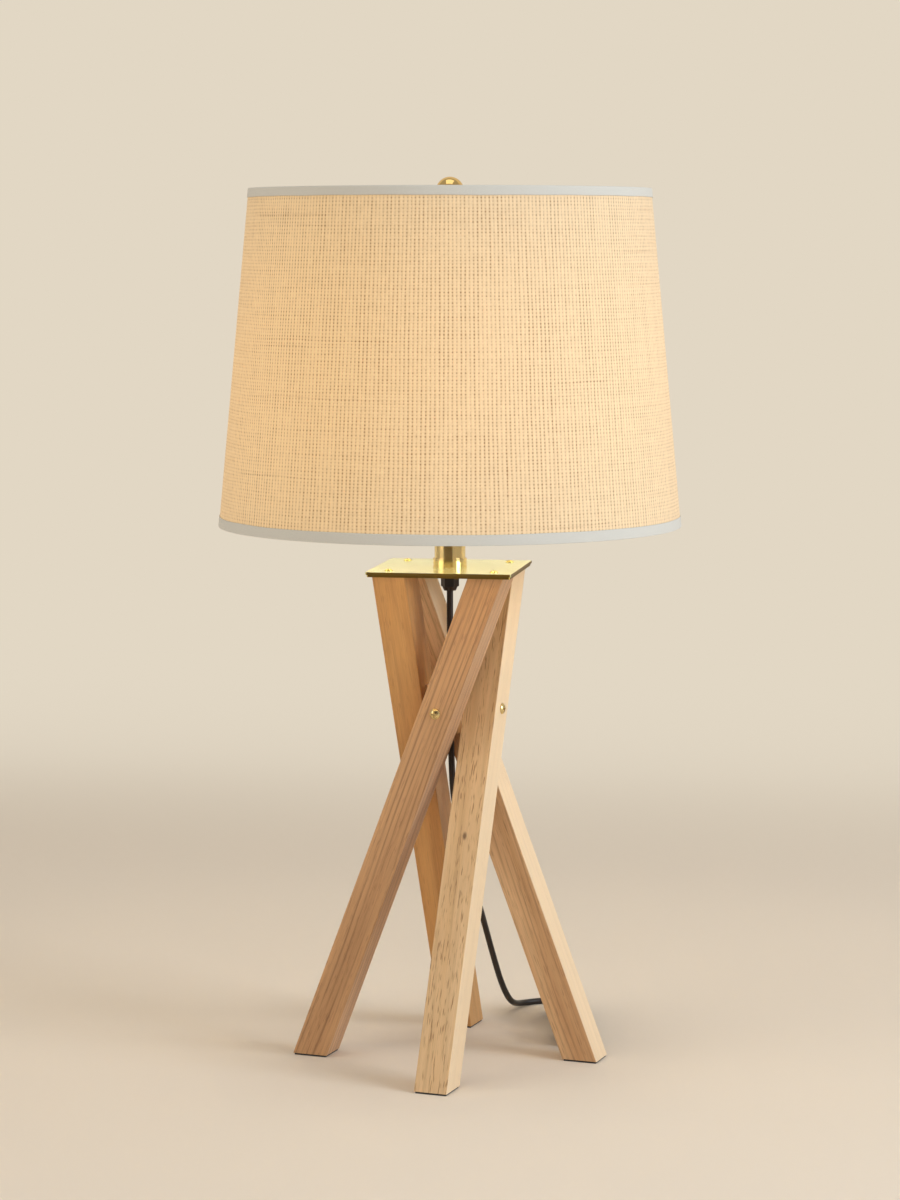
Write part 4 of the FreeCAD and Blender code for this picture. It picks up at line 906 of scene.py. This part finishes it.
@dataclass
class Shade(Assembly):
    """The conical shade: fabric on a stiff liner, its rims taped, on a fitter and a ring.

    A point of its wall is given by its angle round the axis, its height, and how far in it
    lies from the tape's face.
    """

    bottom: float = 0.418
    top: float = 0.675
    bottom_radius: float = 0.178
    top_radius: float = 0.1537
    tape: float = 0.4 * MM
    glue: float = 0.1 * MM
    cloth: float = 0.6 * MM
    wall: float = 2.2 * MM
    tape_bottom_width: float = 8.0 * MM
    tape_top_width: float = 7.0 * MM
    fold_round: float = 0.3 * MM
    fold_points: int = 5
    run_points: int = 8
    waver: tuple[float, float] = (0.04, 0.10)
    waves: tuple = (3, 5, 8, 13, 21)
    lap: float = 12.0 * MM
    lap_angle: float = math.radians(97)
    lap_soft: float = 0.6 * MM
    columns: int = 540
    cloth_rows: int = 48
    seed: int = 7
    cloth_finish: FabricFinish = field(default_factory=lambda: FabricFinish("shade_weave"))
    tape_finish: TapeFinish = field(default_factory=lambda: TapeFinish("rim_tape"))
    dressing = {
        "shade_liner": LinerFinish("shade_liner"), "spider_fitter": BRASS,
        "spider_hub": BRASS, "bottom_ring": ZINC}

    def radius(self, height: np.ndarray, inset: np.ndarray) -> np.ndarray:
        """Return the wall's radius: it narrows evenly from the bottom to the top."""
        share = (height - self.bottom) / (self.top - self.bottom)
        return self.bottom_radius + (self.top_radius - self.bottom_radius) * share - inset

    def lap_rise(self, angle: np.ndarray) -> np.ndarray:
        """Return how far the wall stands out where the cloth laps over itself at the back.

        It is one cloth's thickness between two soft steps, one at each side of the lap.
        """
        away = (angle - self.lap_angle + math.pi) % (2 * math.pi) - math.pi
        beside = np.abs(away) * self.bottom_radius - self.lap / 2
        return 0.5 * self.cloth * (1 - np.tanh(beside / self.lap_soft))

    def ring(self, name: str, heights: np.ndarray, insets: np.ndarray) -> Piece:
        """Carry a closed section round the shade.

        Args:
            name: the piece's name.
            heights: the section's heights, or one row of them for each angle.
            insets: how far in each of its points lies.

        Returns:
            The piece, with a map of its circumference and of its section's outline.
        """
        angle = np.linspace(0, 2 * math.pi, self.columns, endpoint=False)
        heights = np.broadcast_to(
            heights if heights.ndim == 2 else heights[:, None], (insets.size, self.columns))
        reach = self.radius(heights, insets[:, None]) + self.lap_rise(angle)
        points = np.stack([
            reach * np.cos(angle), reach * np.sin(angle), heights], axis=-1)
        girth = np.linspace(0, 2 * math.pi * self.bottom_radius, self.columns + 1)
        middle = heights.mean(axis=1)
        steps = np.hypot(np.diff(middle, append=middle[:1]), np.diff(insets, append=insets[:1]))
        outline = np.concatenate([[0.0], np.cumsum(steps)])
        flat = np.stack(np.broadcast_arrays(girth[None, :], outline[:, None]), axis=-1)
        return surface(name, points, flat)

    def build_cloth(self) -> Piece:
        """Build the fabric: a thin conical band with both faces and both edges."""
        low = self.bottom + self.tape + self.glue
        high = self.top - self.tape - self.glue
        up = np.linspace(low, high, self.cloth_rows)
        face = self.tape + self.glue
        heights = np.concatenate([up, up[::-1]])
        insets = np.concatenate([np.full(up.size, face), np.full(up.size, face + self.cloth)])
        return self.ring("shade_cloth", heights, insets)

    def build_tape(self, name: str, rim: float, width: float, upward: bool) -> Piece:
        """Build a tape: its middle line goes down the outside, under the rim and up inside.

        Args:
            name: the piece's name.
            rim: the height of the shade's edge.
            width: how far the tape reaches from the edge.
            upward: whether it reaches up from the edge.

        Returns:
            The tape, a closed section half a tape's thickness each side of the middle line.
        """
        half = self.tape / 2
        inner = self.wall + self.glue + half
        bend = np.linspace(0, math.pi / 2, self.fold_points)
        curve = self.fold_round * (1 - np.cos(bend))
        climb = self.fold_round * (1 - np.sin(bend))
        run = np.linspace(width, half + self.fold_round, self.run_points)
        inset = np.concatenate([
            np.full(run.size, half), half + curve[1:], inner - curve[::-1][:-1],
            np.full(run.size, inner)])
        rise = np.concatenate([run, half + climb[1:], half + climb[::-1][:-1], run[::-1]])
        slope = np.stack([np.gradient(inset), np.gradient(rise)])
        slope /= np.hypot(*slope)
        side = half * np.stack([-slope[1], slope[0]])
        insets = np.concatenate([inset - side[0], (inset + side[0])[::-1]])
        rises = np.concatenate([rise - side[1], (rise + side[1])[::-1]])
        angle = np.linspace(0, 2 * math.pi, self.columns, endpoint=False)
        draws = np.random.default_rng(self.seed + upward)
        waver = sum(
            draws.uniform(*self.waver) * np.sin(count * angle + draws.uniform(0, 2 * math.pi))
            for count in self.waves) * MM
        share = np.clip(rises / width, 0, 1)[:, None] ** 2
        reach = rises[:, None] + share * waver
        heights = rim + reach if upward else rim - reach
        if upward:
            insets, heights = insets[::-1], heights[::-1]
        return self.ring(name, heights, insets)

    def build(self) -> None:
        super().build()
        cloth = self.build_cloth()
        low_tape = self.build_tape("rim_tape_low", self.bottom, self.tape_bottom_width, True)
        high_tape = self.build_tape("rim_tape_high", self.top, self.tape_top_width, False)
        dress(cloth, self.cloth_finish)
        for piece, node, slot in ((cloth, "shade_fabric", "woven_fabric"),
                                  (low_tape, "tape_bottom", "white_tape"),
                                  (high_tape, "tape_top", "white_tape")):
            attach(piece, "shade")
            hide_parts(node)
            log.info("Shade: %s for %s, %d faces", piece.name, node, len(piece.data.polygons))
        dress(low_tape, self.tape_finish)
        dress(high_tape, self.tape_finish)


# ---- cord

@dataclass
class Cord(Assembly):
    """The mains lead: it hangs from the gland, turns on the floor and ends in a tied hank.

    The route's points are the control points of one smooth spline. The hank's are worked
    out loop by loop in the hank's own frame, across and away from the viewer.
    """

    diameter: float = 5.0 * MM
    length: float = 1.578
    exit: Point = (0.0, 0.0, 0.3672)
    fall: tuple = (
        (0.0, 0.0, 230.0), (2.5, 18.2, 183.6), (7.8, 42.9, 140.3), (13.5, 72.0, 100.1),
        (18.0, 101.4, 60.0), (21.7, 125.8, 29.5), (25.5, 143.7, 12.0), (28.1, 159.9, 4.8),
        (33.6, 173.4, 2.6), (46.0, 182.7, 2.6), (61.4, 184.7, 2.8), (75.7, 178.8, 3.1))
    hank_place: tuple[float, float] = (84.84, 100.45)
    hank_skew: float = 12.6
    layers: int = 4
    layer_lean: float = -2.0
    layer_rise: float = 5.5
    base: float = 3.6
    fold: float = 15.0
    fold_step: float = 45.0
    half_run: float = 46.5
    run_places: tuple = (0.76, 0.30, -0.30, -0.76)
    lead_in: tuple = (18.0, 5.0)
    waist: float = 4.0
    tail: tuple = (
        (-21.0, -32.9, 20.1), (-18.2, -22.4, 21.9), (-10.3, -9.1, 27.0), (-7.5, 1.4, 28.9),
        (-7.5, 10.0, 28.9))
    dressing = {
        "inner_lead": SHEATH, "hank_tie": TIE_PLASTIC,
        "plug_body": PLUG_PLASTIC, "plug_blades": BRASS}

    def half_fold(self, start: float, middle: Sequence[float]) -> np.ndarray:
        """Return a half turn's four control points, a little outside the arc that they bend.

        Args:
            start: the angle that the half turn starts from, in degrees; it goes clockwise.
            middle: the middle of the fold, in the hank's frame.

        Returns:
            Points in the hank's frame, in millimetres.
        """
        half = self.fold_step / 2
        angle = np.radians(start - half - self.fold_step * np.arange(4))
        reach = self.fold / math.cos(math.radians(half))
        return np.stack([reach * np.cos(angle), reach * np.sin(angle),
                         np.zeros(4)], axis=-1) + middle

    def loop(self, layer: int) -> np.ndarray:
        """Return one loop's control points: a run, the near fold, a climbing run, the far fold.

        Args:
            layer: the loop's number, from 0 on the floor.

        Returns:
            Points in the hank's frame, in millimetres.
        """
        places = np.array(self.run_places) * self.half_run
        swing = np.array([self.fold, self.waist, self.waist, self.fold])
        shift, level = self.layer_lean * layer, self.base + self.layer_rise * layer
        toward = np.stack([swing + shift, places, np.full(4, level)], axis=-1)
        near = self.half_fold(0.0, (shift, -self.half_run, level))
        if layer == self.layers - 1:
            return np.concatenate([toward, near])
        climbed = 0.5 - 0.5 * places / self.half_run
        away = np.stack([
            -swing + shift + self.layer_lean * climbed, -places,
            level + self.layer_rise * climbed], axis=-1)
        far = self.half_fold(
            180.0, (shift + self.layer_lean, self.half_run, level + self.layer_rise))
        return np.concatenate([toward, near, away, far])

    def route(self) -> np.ndarray:
        """Return every control point of the lead, in metres."""
        entry = [(self.fold, self.half_run + run, self.base) for run in self.lead_in]
        local = np.concatenate(
            [entry] + [self.loop(layer) for layer in range(self.layers)] + [self.tail])
        skew = math.radians(self.hank_skew)
        spin = np.array([[math.cos(skew), math.sin(skew), 0.0],
                         [-math.sin(skew), math.cos(skew), 0.0], [0.0, 0.0, 1.0]])
        laid = local @ spin + np.array([*self.hank_place, 0.0])
        return np.concatenate([[self.exit], np.array(self.fall) * MM, laid * MM])

    def build(self) -> None:
        super().build()
        points = self.route()
        curve = bpy.data.curves.new("mains_lead", "CURVE")
        curve.dimensions = "3D"
        curve.bevel_depth = self.diameter / 2
        curve.bevel_resolution = 4
        curve.resolution_u = 8
        curve.use_fill_caps = True
        spline = curve.splines.new("NURBS")
        spline.points.add(len(points) - 1)
        weighted = np.concatenate([points, np.ones((len(points), 1))], axis=1)
        spline.points.foreach_set("co", weighted.astype(np.float32).reshape(-1))
        spline.order_u = 3
        spline.use_endpoint_u = True
        lead = put("mains_lead", curve)
        curve.materials.append(SHEATH.material())
        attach(lead, "stand")
        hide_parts("cord_free", "cord_hank", "cord_tail")
        log.info("Cord: mains_lead with %d control points", len(points))


# ---- studio

@dataclass(frozen=True)
class FloorFinish(Finish):
    """A plain surface that takes shadows near the lamp and is even far behind it."""

    near: Colour = paint(232, 220, 203)
    far: Colour = paint(226, 215, 196)
    far_from: float = 0.7
    far_full: float = 1.7

    def shader(self, graph: Graph) -> Socket:
        """Mix in an even light far back, for rays from the camera, mirrors and glass."""
        floor = self.principled(graph, {"Base Color": self.near, "Roughness": 0.9})
        even = graph.add("ShaderNodeEmission", {"Color": self.far, "Strength": 1.0})
        path = graph.add("ShaderNodeLightPath").outputs
        seen = graph.sum("MAXIMUM", path["Is Camera Ray"], graph.sum(
            "MAXIMUM", path["Is Glossy Ray"], path["Is Transmission Ray"]))
        _, back, _ = graph.parts(self.lie(graph, Space.OBJECT))
        share = graph.times(seen, graph.step(back, self.far_from, self.far_full))
        return graph.mix(share, floor, even.outputs[0])


@dataclass(frozen=True)
class SoftLight:
    """A square soft light that looks at the lamp's middle."""

    name: str
    at: Point
    size: float
    power: float
    colour: Point
    aim: Point = (0.0, 0.0, 0.4)

    def hang(self) -> None:
        """Make the light and hang it in the scene."""
        light = bpy.data.lights.new(self.name, "AREA")
        light.size = self.size
        light.energy = self.power
        light.color = self.colour
        hung = put(self.name, light)
        hung.location = self.at
        sight = Vector(self.aim) - Vector(self.at)
        hung.rotation_euler = sight.to_track_quat("-Z", "Y").to_euler()


@dataclass
class Studio:
    """The plain floor and backdrop, the dark card, the soft lights and the camera."""

    sweep_depth: float = 2.2
    sweep_round: float = 0.9
    sweep_width: float = 9.0
    sweep_front: float = -4.0
    sweep_height: float = 4.5
    sweep_steps: int = 24
    camera_at: Point = (0.4094, -2.4358, 0.634)
    camera_turn: Point = (83.66, 0.0, 9.54)
    lens: float = 96.5
    sensor: float = 36.0
    nearest: float = 0.05
    world_colour: Colour = (1.0, 0.97, 0.93, 1.0)
    world_strength: float = 0.45
    card_middle: float = -0.7
    card_behind: float = -2.95
    card_width: float = 4.6
    card_low: float = 0.02
    card_high: float = 2.4
    lights: tuple[SoftLight, ...] = (
        SoftLight("key_light", (2.5, -0.9, 1.3), 1.4, 46.0, (0.91, 1.0, 1.11)),
        SoftLight("fill_light", (-2.4, -1.7, 1.1), 2.0, 24.0, (1.0, 0.9, 0.76)),
        SoftLight("top_light", (0.0, -0.3, 2.6), 1.6, 8.0, (1.0, 0.97, 0.93)))

    def build_floor(self) -> None:
        """Build the floor and backdrop: one sheet that curves up behind the lamp.

        Its side view is a level line, a quarter circle and an upright line.
        """
        bend = np.linspace(0, math.pi / 2, self.sweep_steps)
        edge = self.sweep_depth - self.sweep_round
        back = np.concatenate([
            [self.sweep_front], edge + self.sweep_round * np.sin(bend), [self.sweep_depth]])
        up = np.concatenate([
            [0.0], self.sweep_round * (1 - np.cos(bend)), [self.sweep_height]])
        wide = self.sweep_width / 2
        left = np.stack([np.full(back.size, -wide), back, up], axis=-1)
        points = np.concatenate([left, left * [-1, 1, 1]])
        count = back.size
        faces = [(i, i + count, i + count + 1, i + 1) for i in range(count - 1)]
        mesh = bpy.data.meshes.new("studio_floor")
        mesh.from_pydata(points.tolist(), [], faces)
        mesh.shade_smooth()
        floor = put("studio_floor", mesh)
        dress(floor, FloorFinish("studio_floor"))

    def build_card(self) -> None:
        """Stand a dark card behind the camera, so that the polished metal has dark bands.

        Only mirrored rays meet it, so it takes no light from the lamp.
        """
        left = self.card_middle - self.card_width / 2
        right = self.card_middle + self.card_width / 2
        mesh = bpy.data.meshes.new("studio_card")
        corners = ((left, self.card_low), (right, self.card_low),
                   (right, self.card_high), (left, self.card_high))
        mesh.from_pydata([(across, self.card_behind, up) for across, up in corners],
                         [], [(3, 2, 1, 0)])
        card = put("studio_card", mesh)
        dress(card, MouldedFinish("studio_card", paint(58, 38, 24), paint(66, 44, 28), 0.8))
        card.visible_camera = False
        card.visible_diffuse = False
        card.visible_shadow = False

    def build_world(self) -> None:
        """Light the scene evenly from all round."""
        world = bpy.data.worlds.new("studio_world")
        world.use_nodes = True
        sky = world.node_tree.nodes["Background"]
        sky.inputs["Color"].default_value = self.world_colour
        sky.inputs["Strength"].default_value = self.world_strength
        bpy.context.scene.world = world

    def build_camera(self) -> None:
        """Set up the camera where the photograph was taken from."""
        lens = bpy.data.cameras.new("photo_camera")
        lens.lens = self.lens
        lens.sensor_width = self.sensor
        lens.clip_start = self.nearest
        camera = put("photo_camera", lens)
        camera.location = self.camera_at
        camera.rotation_euler = [math.radians(part) for part in self.camera_turn]
        bpy.context.scene.camera = camera

    def build(self) -> None:
        """Set up the floor, card, lights, world and camera."""
        self.build_floor()
        self.build_card()
        for light in self.lights:
            light.hang()
        self.build_world()
        self.build_camera()
        bpy.context.scene.view_settings.view_transform = "Standard"
        log.info("Studio: floor, card, %d lights and the camera are in place",
                 len(self.lights))


def main() -> None:
    """Build the lamp round its frame, piece by piece, and set up the studio."""
    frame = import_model()
    nodes = frame["nodes"]
    for assembly in (Cord, Legs, PlateAndNeck, HarpAndHolder, Bulb, Shade, Finial):
        assembly(nodes).build()
    Studio().build()


if __name__ == "__main__":
    main()
